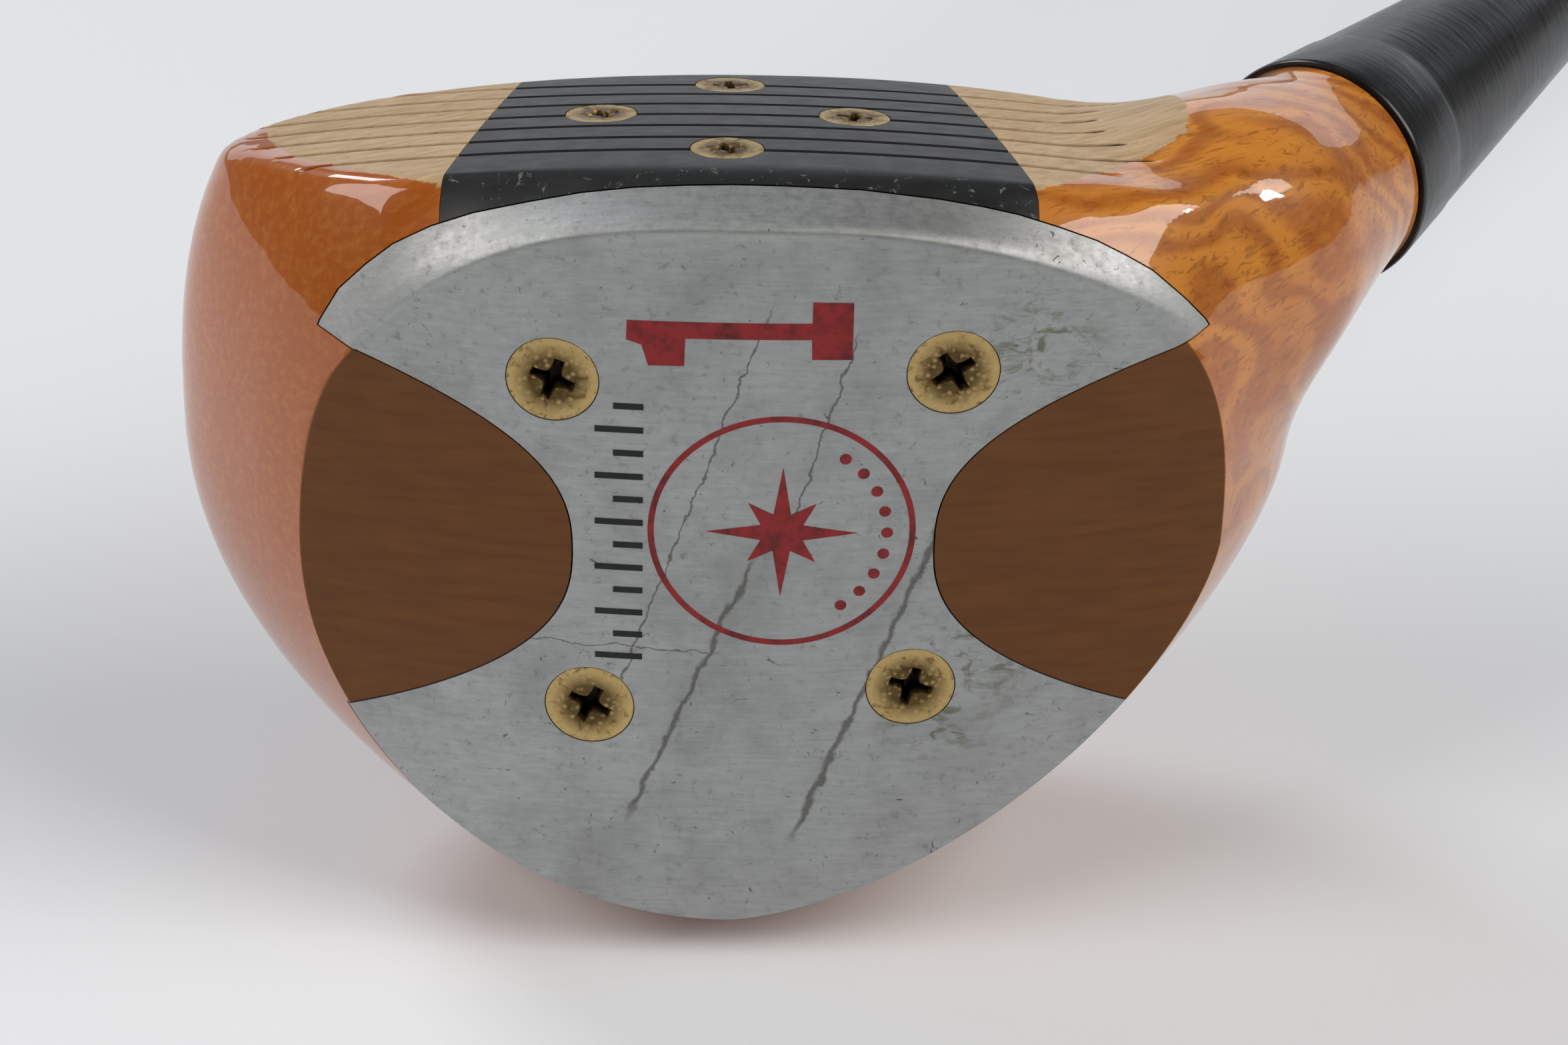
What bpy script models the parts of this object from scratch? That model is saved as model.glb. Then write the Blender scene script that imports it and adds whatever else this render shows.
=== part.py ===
"""A wooden golf driver: head block, face insert, sole plate, screws, neck binding, steel shaft and rubber grip.

Everything is modelled in the head's own frame and then tipped as one, so that the club lies on its back with
the face up, touching the floor with the back of the head and the butt of the grip. In the head's frame the
origin is the middle of the sole, +X runs to the heel, +Y from the sole to the crown and +Z out of the face.
"""

import bmesh
import bpy
import numpy as np
from math import asin, cos, pi, radians, sin, tan
from mathutils import Matrix, Vector

# How the club lies. HEAD_AT puts the middle of its bounding box over the origin.
HEAD_AT = (-0.30265, -0.44997, 0.04669)
LIE = radians(55.0)
GAP = 0.0003

# Head: the sole is part of a cylinder, the face is bulged heel to toe and rolled sole to crown.
SOLE_CAMBER = 0.175
LOFT = radians(11.2)
FACE_FRONT, FACE_MIDDLE_X, FACE_MIDDLE_Y = 0.0287, -0.0048, 0.022
FACE_BULGE, FACE_ROLL = 0.290, 0.312
BODY_MIDDLE_X, BODY_MIDDLE_Z = -0.0045, -0.003
SOLE_TOE, SOLE_HEEL, SOLE_FRONT, SOLE_BACK = 0.0386, 0.0436, 0.0365, 0.0396
GIRTH_TOE, GIRTH_HEEL, GIRTH_FRONT, GIRTH_BACK = 0.0514, 0.0520, 0.0480, 0.0430
GIRTH_HEIGHT, CROWN_HEIGHT, CROWN_RISE = 0.019, 0.045, 0.05
RISE_TOE, RISE_HEEL, BODY_SCALE = -0.06, 0.03, 0.042
ROUND_FRONT_TOE, ROUND_FRONT_HEEL, ROUND_BACK_TOE, ROUND_BACK_HEEL = 2.55, 2.75, 2.0, 1.55
CROWN_ROUND = 2.4
FACE_EDGE, SOLE_EDGE, LEADING_EDGE, NECK_BLEND = 0.0015, 0.0012, 0.0060, 0.010
LEADING_FROM, LEADING_OVER = 0.018, 0.010
HEAD_SHARP = radians(35)

# The rays that find the head's surface leave a spine: a straight run, then a bend up into the neck.
SPINE_TOE, SPINE_HEEL, SPINE_BEND = (-0.024, 0.020, -0.004), (0.010, 0.020, -0.004), 0.018
RAYS_ROUND, RAYS_TOE, RAYS_ALONG = 64, 9, 34
RAY_LENGTH, RAY_STEP, HALVINGS = 0.08, 0.001, 24

# Neck, measured along the shaft from the rim where the wood disappears under the sleeve.
NECK_RIM = Vector((0.0500, 0.0380, 0.0163))
NECK_RADIUS, NECK_BELOW, NECK_TAPER, NECK_SPREAD = 0.01066, 0.014, 0.03, 0.05
SLEEVE_RADIUS, SLEEVE_TAPER, SLEEVE_WALL = 0.01115, 0.097, 0.0006
SLEEVE_LENGTH, WOOD_TOP, BORE_DEPTH = 0.062, 0.034, 0.036
THREAD_WALL = 0.0005
FERRULE_LENGTH = 0.0255
PIN_HEIGHT, PIN_RADIUS, PIN_SHORT, PIN_HOLE_HALF = 0.012, 0.0010, 0.0006, 0.012

# Face insert: a keystone block, wider at the sole.
INSERT_BACK = 0.0200
INSERT_TOE_LOW, INSERT_HEEL_LOW, INSERT_TOE_HIGH, INSERT_HEEL_HIGH = -0.0294, 0.0211, -0.0220, 0.0138
INSERT_KNEE, INSERT_LOW, INSERT_HIGH, INSERT_FRONT = 0.006, -0.010, 0.050, 0.050
INSERT_SCREWS = {"crown": (-0.0048, 0.0361), "sole": (-0.0052, 0.0136),
                 "toe": (-0.0163, 0.0250), "heel": (0.0062, 0.0250)}
INSERT_SCREW_RADIUS, INSERT_SCREW_LENGTH = 0.00317, 0.016

# Sole plate: an hourglass between two notches, each a power curve about its own waist.
PLATE_THICKNESS = 0.0025
ROLLER_SEGMENTS, ROLLER_LENGTH = 240, 0.16
OUTLINE_SIDE, OUTLINE_FRONT, OUTLINE_BACK, OUTLINE_LOW, OUTLINE_HIGH = 0.055, 0.05, -0.06, -0.010, 0.020
# Each notch: its waist, its middle from front to back, its depth, its half height and the power of its curve.
NOTCH_POINTS = 29
TOE_NOTCH = (-0.0182, -0.0028, 0.0034, 0.0092, 2.5)
HEEL_NOTCH = (0.0133, -0.0015, 0.0026, 0.0083, 2.55)
SOLE_SCREWS = {"front_toe": (-0.0199, 0.0142), "front_heel": (0.0143, 0.0157),
               "back_toe": (-0.0168, -0.0191), "back_heel": (0.0119, -0.0165)}
SOLE_SCREW_RADIUS, SOLE_SCREW_LENGTH = 0.0040, 0.022
WEIGHT_AT, WEIGHT_RADIUS, WEIGHT_THICKNESS, WEIGHT_POCKET_OVER = (-0.0025, -0.0020), 0.0080, 0.0065, 0.004

# Screws, as shares of the head's radius: the shank, and the arm, half width, depth and foot of the cross.
SHANK, CROSS_ARM, CROSS_HALF, CROSS_DEPTH, CROSS_FOOT = 0.44, 0.62, 0.15, 0.50, 0.55
HEAD_RIM, HEAD_SUNK, HOLE_ABOVE, CROSS_ABOVE = 0.0003, 0.0001, 0.004, 0.001

# Shaft and grip, again measured from the neck rim.
SHAFT_TIP, SHAFT_BUTT, SHAFT_WALL = -0.0355, 1.0420, 0.00036
TIP_RADIUS, BUTT_RADIUS = 0.00430, 0.00760
FIRST_STEP, STEP_PITCH, STEPS = 0.150, 0.045, 14
STEP_LENGTH, BORE_ABOVE, TIP_PLUG_LENGTH = 0.002, 0.002, 0.012
GRIP_MOUTH, GRIP_END, CAP_WALL, CAP_LENGTH = 0.7760, 1.0460, 0.0037, 0.009
GRIP_MOUTH_RADIUS, GRIP_BUTT_RADIUS, CAP_RADIUS, VENT_RADIUS = 0.0098, 0.0130, 0.0140, 0.0011
GRIP_LIP, GRIP_LIP_DEPTH, TAPE_WALL, TAPE_ABOVE_STEP = 0.002, 0.0005, 0.0005, 0.004

WOOD, BLACK, ALUMINIUM = (0.62, 0.26, 0.06), (0.012, 0.012, 0.013), (0.42, 0.43, 0.45)
BRASS, STEEL, LEAD = (0.62, 0.50, 0.28), (0.60, 0.60, 0.62), (0.20, 0.20, 0.22)
RUBBER, PAPER, CORK = (0.02, 0.02, 0.02), (0.62, 0.55, 0.42), (0.5, 0.33, 0.18)


def smooth_max(a, b, width):
    """The larger of the two, with the corner between them rounded over the given width."""
    near = np.maximum(width - np.abs(a - b), 0) / width
    return np.maximum(a, b) + near * near * width / 4


def smooth_min(a, b, width):
    return -smooth_max(-a, -b, width)


def sole_height(x):
    return SOLE_CAMBER - np.sqrt(SOLE_CAMBER**2 - x * x)


def face_front(x, y):
    """How far forward the face is: lofted back towards the crown, less the bulge and the roll."""
    across, up = x - FACE_MIDDLE_X, y - FACE_MIDDLE_Y
    return FACE_FRONT - tan(LOFT) * up - across**2 / (2 * FACE_BULGE) - up**2 / (2 * FACE_ROLL)


def body_level(p):
    """Negative inside the body, a superellipse in plan that swells to the girth and closes at the crown."""
    x, y, z = p[..., 0], p[..., 1], p[..., 2]
    across, forward = x - BODY_MIDDLE_X, z - BODY_MIDDLE_Z
    above_sole = np.clip((y - sole_height(x)) / GIRTH_HEIGHT, -0.5, 1)
    swell = np.sin(pi / 2 * above_sole)
    crown = CROWN_HEIGHT + CROWN_RISE * np.clip(x, RISE_TOE, RISE_HEEL)
    above_girth = np.clip((y - GIRTH_HEIGHT) / (crown - GIRTH_HEIGHT), 0, 3)
    toe = SOLE_TOE + (GIRTH_TOE - SOLE_TOE) * swell
    heel = SOLE_HEEL + (GIRTH_HEEL - SOLE_HEEL) * swell
    front = SOLE_FRONT + (GIRTH_FRONT - SOLE_FRONT) * swell
    back = SOLE_BACK + (GIRTH_BACK - SOLE_BACK) * swell
    power = np.where(forward > 0, np.where(across < 0, ROUND_FRONT_TOE, ROUND_FRONT_HEEL),
                     np.where(across < 0, ROUND_BACK_TOE, ROUND_BACK_HEEL))
    share_x = np.abs(across) / np.where(across < 0, toe, heel)
    share_z = np.abs(forward) / np.where(forward > 0, front, back)
    plan = (share_x**power + share_z**power) ** (1 / power)
    share = (plan**CROWN_ROUND + above_girth**CROWN_ROUND) ** (1 / CROWN_ROUND)
    return (share - 1) * np.where(above_girth > plan, crown - GIRTH_HEIGHT, BODY_SCALE)


def neck_level(p):
    """Negative inside the neck: a cone on the shaft's axis with a ball end down in the heel."""
    from_rim = p - np.array(NECK_RIM)
    along = from_rim @ np.array((cos(LIE), sin(LIE), 0))
    off_axis = np.linalg.norm(from_rim - along[..., None] * np.array((cos(LIE), sin(LIE), 0)), axis=-1)
    radius = NECK_RADIUS - NECK_TAPER * along + NECK_SPREAD * np.maximum(-along, 0)
    return np.hypot(off_axis, np.maximum(-NECK_BELOW - along, 0)) - radius


def head_level(p):
    """Negative inside the wood: body cut by the face, joined to the neck, then cut by the sole."""
    x, y, z = p[..., 0], p[..., 1], p[..., 2]
    cut = smooth_max(body_level(p), z - face_front(x, y), FACE_EDGE)
    whole = smooth_min(cut, neck_level(p), NECK_BLEND)
    leading = np.clip((z - LEADING_FROM) / LEADING_OVER, 0, 1)
    edge = SOLE_EDGE + (LEADING_EDGE - SOLE_EDGE) * leading
    return smooth_max(whole, sole_height(x) - y, edge)


def spine(rows):
    """Points along the head's spine, a straight run and a Bezier turn up into the neck, and its headings.

    The headings stay square to the face, so the rings of rays fan out only from sole to crown.
    """
    start, turn = np.array(SPINE_TOE), np.array(SPINE_HEEL)
    rim, up = np.array(NECK_RIM), np.array((cos(LIE), sin(LIE), 0))
    straight = np.linspace(0, 1, rows // 3, endpoint=False)[:, None]
    t = np.linspace(0, 1, rows - rows // 3)[:, None]
    out, back = turn + (SPINE_BEND, 0, 0), rim - SPINE_BEND * up
    curve = (1 - t) ** 3 * turn + 3 * (1 - t) ** 2 * t * out + 3 * (1 - t) * t**2 * back + t**3 * rim
    points = np.concatenate([start + (turn - start) * straight, curve])
    along = np.gradient(points, axis=0) * (1, 1, 0)
    along[0] = (1, 0, 0)
    along[-1] = up
    return points, along / np.linalg.norm(along, axis=1)[:, None]


def head_rings():
    """Rings of points on the wood from toe to rim, found by halving along rays that leave the spine."""
    points, along = spine(RAYS_ALONG)
    forward = np.array((0, 0, 1.0)) - along * along[:, 2:3]
    forward /= np.linalg.norm(forward, axis=1)[:, None]
    side = np.cross(along, forward)
    turn = np.linspace(0, 2 * pi, RAYS_ROUND, endpoint=False)[None, :, None]
    rays = np.cos(turn) * forward[:, None] + np.sin(turn) * side[:, None]
    tilt = np.linspace(0, pi / 2, RAYS_TOE + 1)[1:-1, None, None]
    toe_rays = -np.cos(tilt) * along[0] + np.sin(tilt) * rays[0]
    rays = np.concatenate([toe_rays, rays])
    starts = np.concatenate([np.repeat(points[:1], len(toe_rays), 0), points])[:, None]
    outside = np.full(rays.shape[:2], RAY_LENGTH)
    for reach in np.arange(RAY_LENGTH, 0, -RAY_STEP):
        beyond = head_level(starts + rays * reach) > 0
        outside = np.where(beyond, reach, outside)
    inside = outside - RAY_STEP
    for _ in range(HALVINGS):
        middle = (inside + outside) / 2
        beyond = head_level(starts + rays * middle[..., None]) > 0
        outside = np.where(beyond, middle, outside)
        inside = np.where(beyond, inside, middle)
    return starts + rays * inside[..., None], points[0], turn[0]


def link(name, mesh, colour=None, roughness=0.5, metallic=0.0, parent=None):
    """A finished piece of the club or, with no colour, a cutter."""
    made = bpy.data.objects.new(name, mesh)
    made.parent = parent
    if colour is None:
        made.hide_render = True
        made.display_type = "WIRE"
        cutters.objects.link(made)
        return made
    material = bpy.data.materials.new(name)
    material.use_nodes = True
    shader = material.node_tree.nodes["Principled BSDF"]
    shader.inputs["Base Color"].default_value = (*colour, 1)
    shader.inputs["Roughness"].default_value = roughness
    shader.inputs["Metallic"].default_value = metallic
    made.data.materials.clear()
    made.data.materials.append(material)
    club.objects.link(made)
    return made


def boolean(target, tool, operation="DIFFERENCE"):
    modifier = target.modifiers.new(tool.name, "BOOLEAN")
    modifier.operation = operation
    modifier.solver = "EXACT"
    modifier.object = tool


def turned(name, profile, steps, **finish):
    """A profile of (radius, height) pairs, run down the outer side and back up any bore, turned about Z."""
    mesh = bpy.data.meshes.new(name)
    on_axis = profile[0][0] == 0 and profile[-1][0] == 0
    count = len(profile)
    edges = [(i, (i + 1) % count) for i in range(count - 1 if on_axis else count)]
    mesh.from_pydata([(radius, 0, height) for radius, height in profile], edges, [])
    made = link(name, mesh, **finish)
    screw = made.modifiers.new("turn", "SCREW")
    screw.steps = steps
    screw.render_steps = steps
    screw.use_merge_vertices = True
    screw.merge_threshold = 0.00001
    screw.use_smooth_shade = True
    return made


def frozen(made):
    """The object's evaluated mesh, welded, with the object removed."""
    graph = bpy.context.evaluated_depsgraph_get()
    mesh = bpy.data.meshes.new_from_object(made.evaluated_get(graph))
    shape = bmesh.new()
    shape.from_mesh(mesh)
    bmesh.ops.remove_doubles(shape, verts=shape.verts, dist=0.000001)
    shape.to_mesh(mesh)
    shape.free()
    bpy.data.objects.remove(made)
    return mesh


def prism(name, outline, low, high, axes):
    """A flat outline as a filled 2D curve, extruded between two heights and turned by axes into the head."""
    curve = bpy.data.curves.new(name, "CURVE")
    curve.dimensions = "2D"
    curve.fill_mode = "BOTH"
    curve.extrude = (high - low) / 2
    line = curve.splines.new("POLY")
    line.points.add(len(outline) - 1)
    for point, (u, v) in zip(line.points, outline):
        point.co = (u, v, 0, 1)
    line.use_cyclic_u = True
    mesh = frozen(link(name, curve))
    mesh.transform(Matrix.Translation((0, 0, (high + low) / 2)))
    mesh.transform(axes)
    shape = bmesh.new()
    shape.from_mesh(mesh)
    bmesh.ops.recalc_face_normals(shape, faces=shape.faces)
    shape.to_mesh(mesh)
    shape.free()
    return link(name, mesh, parent=club_frame)


def offset(outline, distance):
    """The closed outline moved outwards by a distance along its own normals. It runs anticlockwise."""
    points = np.array(outline)
    before, after = points - np.roll(points, 1, 0), np.roll(points, -1, 0) - points
    before /= np.linalg.norm(before, axis=1)[:, None]
    after /= np.linalg.norm(after, axis=1)[:, None]
    normal = np.stack([before[:, 1] + after[:, 1], -before[:, 0] - after[:, 0]], 1)
    normal /= 1 + (before * after).sum(1)[:, None]
    return points + normal * distance


def notch(waist, middle, depth, rise, power, side):
    """One waist of the sole plate, from front to back, out past the side of the head."""
    reach = rise * ((OUTLINE_SIDE - abs(waist)) / depth) ** (1 / power)
    z = np.linspace(reach, -reach, NOTCH_POINTS)
    return np.stack([waist + side * depth * np.abs(z / rise) ** power, middle + z], 1)


def hourglass():
    toe = notch(*TOE_NOTCH, -1)
    heel = notch(*HEEL_NOTCH, 1)[::-1]
    back = [(-OUTLINE_SIDE, OUTLINE_BACK), (OUTLINE_SIDE, OUTLINE_BACK)]
    front = [(OUTLINE_SIDE, OUTLINE_FRONT), (-OUTLINE_SIDE, OUTLINE_FRONT)]
    return np.concatenate([toe, back, heel, front])


def keystone():
    """The insert's outline seen from in front, anticlockwise from the low toe corner."""
    return [(INSERT_TOE_LOW, INSERT_LOW), (INSERT_HEEL_LOW, INSERT_LOW), (INSERT_HEEL_LOW, INSERT_KNEE),
            (INSERT_HEEL_HIGH, INSERT_HIGH), (INSERT_TOE_HIGH, INSERT_HIGH), (INSERT_TOE_LOW, INSERT_KNEE)]


def cylinder(name, radius, length, segments):
    """A closed cylinder on its own middle, along Z."""
    shape = bmesh.new()
    bmesh.ops.create_cone(shape, cap_ends=True, segments=segments, radius1=radius, radius2=radius, depth=length)
    mesh = bpy.data.meshes.new(name)
    shape.to_mesh(mesh)
    shape.free()
    return mesh


def sole_roller(name, radius):
    """A big cylinder on the sole's own centre of curvature. It parts what is above the plate from the plate.

    Half a segment's turn sets an edge of it, and not a flat, on the middle of the sole.
    """
    mesh = cylinder(name, radius, ROLLER_LENGTH, ROLLER_SEGMENTS)
    mesh.transform(Matrix.Translation((0, SOLE_CAMBER, 0)) @ Matrix.Rotation(pi / ROLLER_SEGMENTS, 4, "Z"))
    return link(name, mesh, parent=club_frame)


def screw_profile(radius, length, grow=0.0):
    """A countersunk wood screw from the top of its head to its point. Grown, it is its own hole."""
    shank = radius * SHANK
    cone = radius - shank
    start = [(0, HOLE_ABOVE), (radius + grow, HOLE_ABOVE)] if grow else [(0, 0)]
    return start + [(radius + grow, -HEAD_RIM - grow / 2), (shank + grow, -HEAD_RIM - cone),
                    (shank + grow, -length + 2 * shank), (0, -length - grow)]


def screw_mesh(radius, length):
    """The screw with its cross recess: a four-armed star that narrows as it goes down."""
    screw = turned("screw", screw_profile(radius, length), 20)
    arm, half, depth = radius * CROSS_ARM, radius * CROSS_HALF, radius * CROSS_DEPTH
    star = [(half, half), (half, arm), (-half, arm), (-half, half), (-arm, half), (-arm, -half),
            (-half, -half), (-half, -arm), (half, -arm), (half, -half), (arm, -half), (arm, half)]
    shape = bmesh.new()
    top = [shape.verts.new((x, y, CROSS_ABOVE)) for x, y in star]
    low = [shape.verts.new((x * CROSS_FOOT, y * CROSS_FOOT, -depth)) for x, y in star]
    shape.faces.new(top)
    shape.faces.new(low[::-1])
    for i in range(12):
        shape.faces.new((top[i - 1], low[i - 1], low[i], top[i]))
    bmesh.ops.recalc_face_normals(shape, faces=shape.faces)
    mesh = bpy.data.meshes.new("recess")
    shape.to_mesh(mesh)
    shape.free()
    recess = link("recess", mesh)
    boolean(screw, recess)
    bpy.context.view_layer.update()
    finished = frozen(screw)
    bpy.data.objects.remove(recess)
    return finished


def fastener(name, mesh, hole_mesh, place, outward, spin, targets):
    """A screw sunk a little under the surface, and its hole in each piece that it passes."""
    turn = outward.to_track_quat("Z", "Y").to_matrix().to_4x4()
    matrix = Matrix.Translation(place - outward * HEAD_SUNK) @ turn @ Matrix.Rotation(spin, 4, "Z")
    screw = link(name, mesh, BRASS, 0.35, 1.0, club_frame)
    screw.matrix_local = matrix
    hole = link(name + "_hole", hole_mesh, parent=club_frame)
    hole.matrix_local = matrix
    for target in targets:
        boolean(target, hole)


for old in list(bpy.data.objects):
    bpy.data.objects.remove(old)
club = bpy.data.collections.new("golf_driver")
cutters = bpy.data.collections.new("cutters")
cutters.hide_render = True
bpy.context.scene.collection.children.link(club)
bpy.context.scene.collection.children.link(cutters)

club_frame = bpy.data.objects.new("club_frame", None)
club.objects.link(club_frame)
shaft_frame = bpy.data.objects.new("shaft_frame", None)
shaft_frame.parent = club_frame
club.objects.link(shaft_frame)
shaft_direction = Vector((cos(LIE), sin(LIE), 0))
neck_turn = Matrix.Rotation(LIE - pi / 2, 4, "Z") @ Matrix.Rotation(-pi / 2, 4, "X")
shaft_frame.matrix_local = Matrix.Translation(NECK_RIM) @ neck_turn

# Head block: the rings are joined into one skin, and the neck goes on as a thinner spigot under the sleeve.
rings, toe_middle, ring_angle = head_rings()
toe_ray = np.array((-1.0, 0, 0))
reach = np.linspace(0, RAY_LENGTH, 8001)
toe_tip = toe_middle + toe_ray * reach[np.argmax(head_level(toe_middle + toe_ray * reach[:, None]) > 0)]
rim_point, rim_up = np.array(NECK_RIM), np.array(shaft_direction)
rim_side = np.cross(rim_up, (0, 0, 1.0))
spoke = np.cos(ring_angle) * (0, 0, 1.0) + np.sin(ring_angle) * rim_side


def under_sleeve(height):
    return SLEEVE_RADIUS - SLEEVE_TAPER * height - SLEEVE_WALL - THREAD_WALL - 2 * GAP


spigot = [rim_point + rim_up * height + spoke * under_sleeve(height) for height in (0.0, WOOD_TOP)]
skin = np.concatenate([rings, np.array(spigot)])
rows = len(skin)
faces = [(i * RAYS_ROUND + j, i * RAYS_ROUND + (j + 1) % RAYS_ROUND,
          (i + 1) * RAYS_ROUND + (j + 1) % RAYS_ROUND, (i + 1) * RAYS_ROUND + j)
         for i in range(rows - 1) for j in range(RAYS_ROUND)]
faces += [(rows * RAYS_ROUND, (j + 1) % RAYS_ROUND, j) for j in range(RAYS_ROUND)]
faces.append(tuple((rows - 1) * RAYS_ROUND + j for j in range(RAYS_ROUND)))
head_mesh = bpy.data.meshes.new("head_block")
head_mesh.from_pydata([tuple(point) for point in skin.reshape(-1, 3)] + [tuple(toe_tip)], [], faces)
shape = bmesh.new()
shape.from_mesh(head_mesh)
bmesh.ops.recalc_face_normals(shape, faces=shape.faces)
shape.to_mesh(head_mesh)
shape.free()
head_mesh.shade_smooth()
head_mesh.set_sharp_from_angle(angle=HEAD_SHARP)

head_block = link("head_block", head_mesh, WOOD, 0.15, 0.0, club_frame)
sole_plate = link("sole_plate", head_mesh.copy(), ALUMINIUM, 0.40, 1.0, club_frame)
face_insert = link("face_insert", head_mesh.copy(), BLACK, 0.35, 0.0, club_frame)

# The plate is what the hourglass takes of the wood below the roller, and the pocket is a gap wider all round.
from_sole = Matrix(((1, 0, 0, 0), (0, 0, 1, 0), (0, 1, 0, 0), (0, 0, 0, 1)))
plate_cut = prism("plate_outline", hourglass(), OUTLINE_LOW, OUTLINE_HIGH, from_sole)
pocket = prism("plate_pocket", offset(hourglass(), GAP), OUTLINE_LOW - GAP, OUTLINE_HIGH + GAP, from_sole)
roller = sole_roller("above_plate", SOLE_CAMBER - PLATE_THICKNESS)
pocket_roller = sole_roller("above_pocket", SOLE_CAMBER - PLATE_THICKNESS - GAP)
boolean(sole_plate, plate_cut, "INTERSECT")
boolean(sole_plate, roller)
boolean(pocket, pocket_roller)
boolean(head_block, pocket)

# The insert is what the keystone takes of the wood above the plate.
insert_cut = prism("insert_outline", keystone(), INSERT_BACK, INSERT_FRONT, Matrix.Identity(4))
recess_cut = prism("insert_recess", offset(keystone(), GAP), INSERT_BACK - GAP, INSERT_FRONT + GAP,
                   Matrix.Identity(4))
boolean(face_insert, insert_cut, "INTERSECT")
boolean(face_insert, pocket_roller, "INTERSECT")
boolean(head_block, recess_cut)

# Brass screws. Each kind shares one mesh, and each screw stopped at its own angle.
sole_screw = screw_mesh(SOLE_SCREW_RADIUS, SOLE_SCREW_LENGTH)
sole_hole = frozen(turned("sole_screw_hole", screw_profile(SOLE_SCREW_RADIUS, SOLE_SCREW_LENGTH, GAP), 20))
for turn_index, (where, (x, z)) in enumerate(SOLE_SCREWS.items()):
    place = Vector((x, sole_height(x), z))
    outward = Vector((x / SOLE_CAMBER, -1, 0)).normalized()
    fastener("sole_screw_" + where, sole_screw, sole_hole, place, outward, 0.5 + 1.3 * turn_index,
             (sole_plate, head_block))

insert_screw = screw_mesh(INSERT_SCREW_RADIUS, INSERT_SCREW_LENGTH)
insert_hole_profile = screw_profile(INSERT_SCREW_RADIUS, INSERT_SCREW_LENGTH, GAP)
insert_hole = frozen(turned("insert_screw_hole", insert_hole_profile, 20))
for turn_index, (where, (x, y)) in enumerate(INSERT_SCREWS.items()):
    place = Vector((x, y, float(face_front(x, y))))
    slopes = (x - FACE_MIDDLE_X) / FACE_BULGE, tan(LOFT) + (y - FACE_MIDDLE_Y) / FACE_ROLL
    outward = Vector((*slopes, 1)).normalized()
    fastener("insert_screw_" + where, insert_screw, insert_hole, place, outward, 0.3 + 0.9 * turn_index,
             (face_insert, head_block))

# Swing weight: a lead slug in a round pocket, held down by the plate.
weight_place = Vector((WEIGHT_AT[0], PLATE_THICKNESS + 2 * GAP + WEIGHT_THICKNESS / 2, WEIGHT_AT[1]))
weight_mesh = cylinder("swing_weight", WEIGHT_RADIUS, WEIGHT_THICKNESS, 28)
swing_weight = link("swing_weight", weight_mesh, LEAD, 0.6, 1.0, club_frame)
swing_weight.location = weight_place
swing_weight.rotation_euler = (pi / 2, 0, 0)
pocket_mesh = cylinder("weight_pocket", WEIGHT_RADIUS + GAP, WEIGHT_THICKNESS + WEIGHT_POCKET_OVER, 28)
weight_pocket = link("weight_pocket", pocket_mesh, parent=club_frame)
weight_pocket.location = weight_place - Vector((0, WEIGHT_POCKET_OVER / 2 - GAP, 0))
weight_pocket.rotation_euler = (pi / 2, 0, 0)
boolean(head_block, weight_pocket)

# The bore is blind and stops short of the plate.
bore_top, bore_radius = WOOD_TOP + BORE_ABOVE, TIP_RADIUS + GAP
bore = turned("shaft_bore", [(0, bore_top), (bore_radius, bore_top), (bore_radius, -BORE_DEPTH),
                             (0, -BORE_DEPTH)], 28, parent=shaft_frame)
boolean(head_block, bore)


def sleeve_radius(height):
    return SLEEVE_RADIUS - SLEEVE_TAPER * height


def tube(name, low, high, outer, inner, steps, **finish):
    """A conical tube between two heights, with its outer and inner radii given as functions of height."""
    profile = [(outer(high), high), (outer(low), low), (inner(low), low), (inner(high), high)]
    return turned(name, profile, steps, parent=shaft_frame, **finish)


tube("neck_sleeve", GAP, SLEEVE_LENGTH, sleeve_radius, lambda h: sleeve_radius(h) - SLEEVE_WALL, 40,
     colour=BLACK, roughness=0.35)
tube("whipping", 2 * GAP, WOOD_TOP, lambda h: sleeve_radius(h) - SLEEVE_WALL - GAP,
     lambda h: under_sleeve(h) + GAP, 40, colour=BLACK, roughness=0.7)
tube("ferrule", WOOD_TOP + GAP, WOOD_TOP + GAP + FERRULE_LENGTH,
     lambda h: sleeve_radius(h) - SLEEVE_WALL - GAP, lambda h: TIP_RADIUS + GAP / 2, 32,
     colour=BLACK, roughness=0.3)

# Shaft: a seamless tube, parallel at the tip, then stepped up in even lengths to the butt.
step_rise = (BUTT_RADIUS - TIP_RADIUS) / STEPS
last_step = FIRST_STEP + STEPS * STEP_PITCH
tip_bore, butt_bore = TIP_RADIUS - SHAFT_WALL, BUTT_RADIUS - SHAFT_WALL
stepped = [(BUTT_RADIUS, SHAFT_BUTT)]
for step in reversed(range(STEPS)):
    height, radius = FIRST_STEP + step * STEP_PITCH, TIP_RADIUS + step * step_rise
    stepped += [(radius + step_rise, height + STEP_LENGTH), (radius, height)]
stepped += [(TIP_RADIUS, SHAFT_TIP), (tip_bore, SHAFT_TIP), (tip_bore, FIRST_STEP),
            (butt_bore, last_step), (butt_bore, SHAFT_BUTT)]
shaft = turned("shaft", stepped, 24, colour=STEEL, roughness=0.15, metallic=1.0, parent=shaft_frame)

# Neck pin: it locks the shaft in the neck, under the thread.
across_neck = Matrix.Translation((0, 0, PIN_HEIGHT)) @ Matrix.Rotation(pi / 2, 4, "Y")


def rod_profile(radius, half):
    return [(0, half), (radius, half), (radius, -half), (0, -half)]


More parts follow.
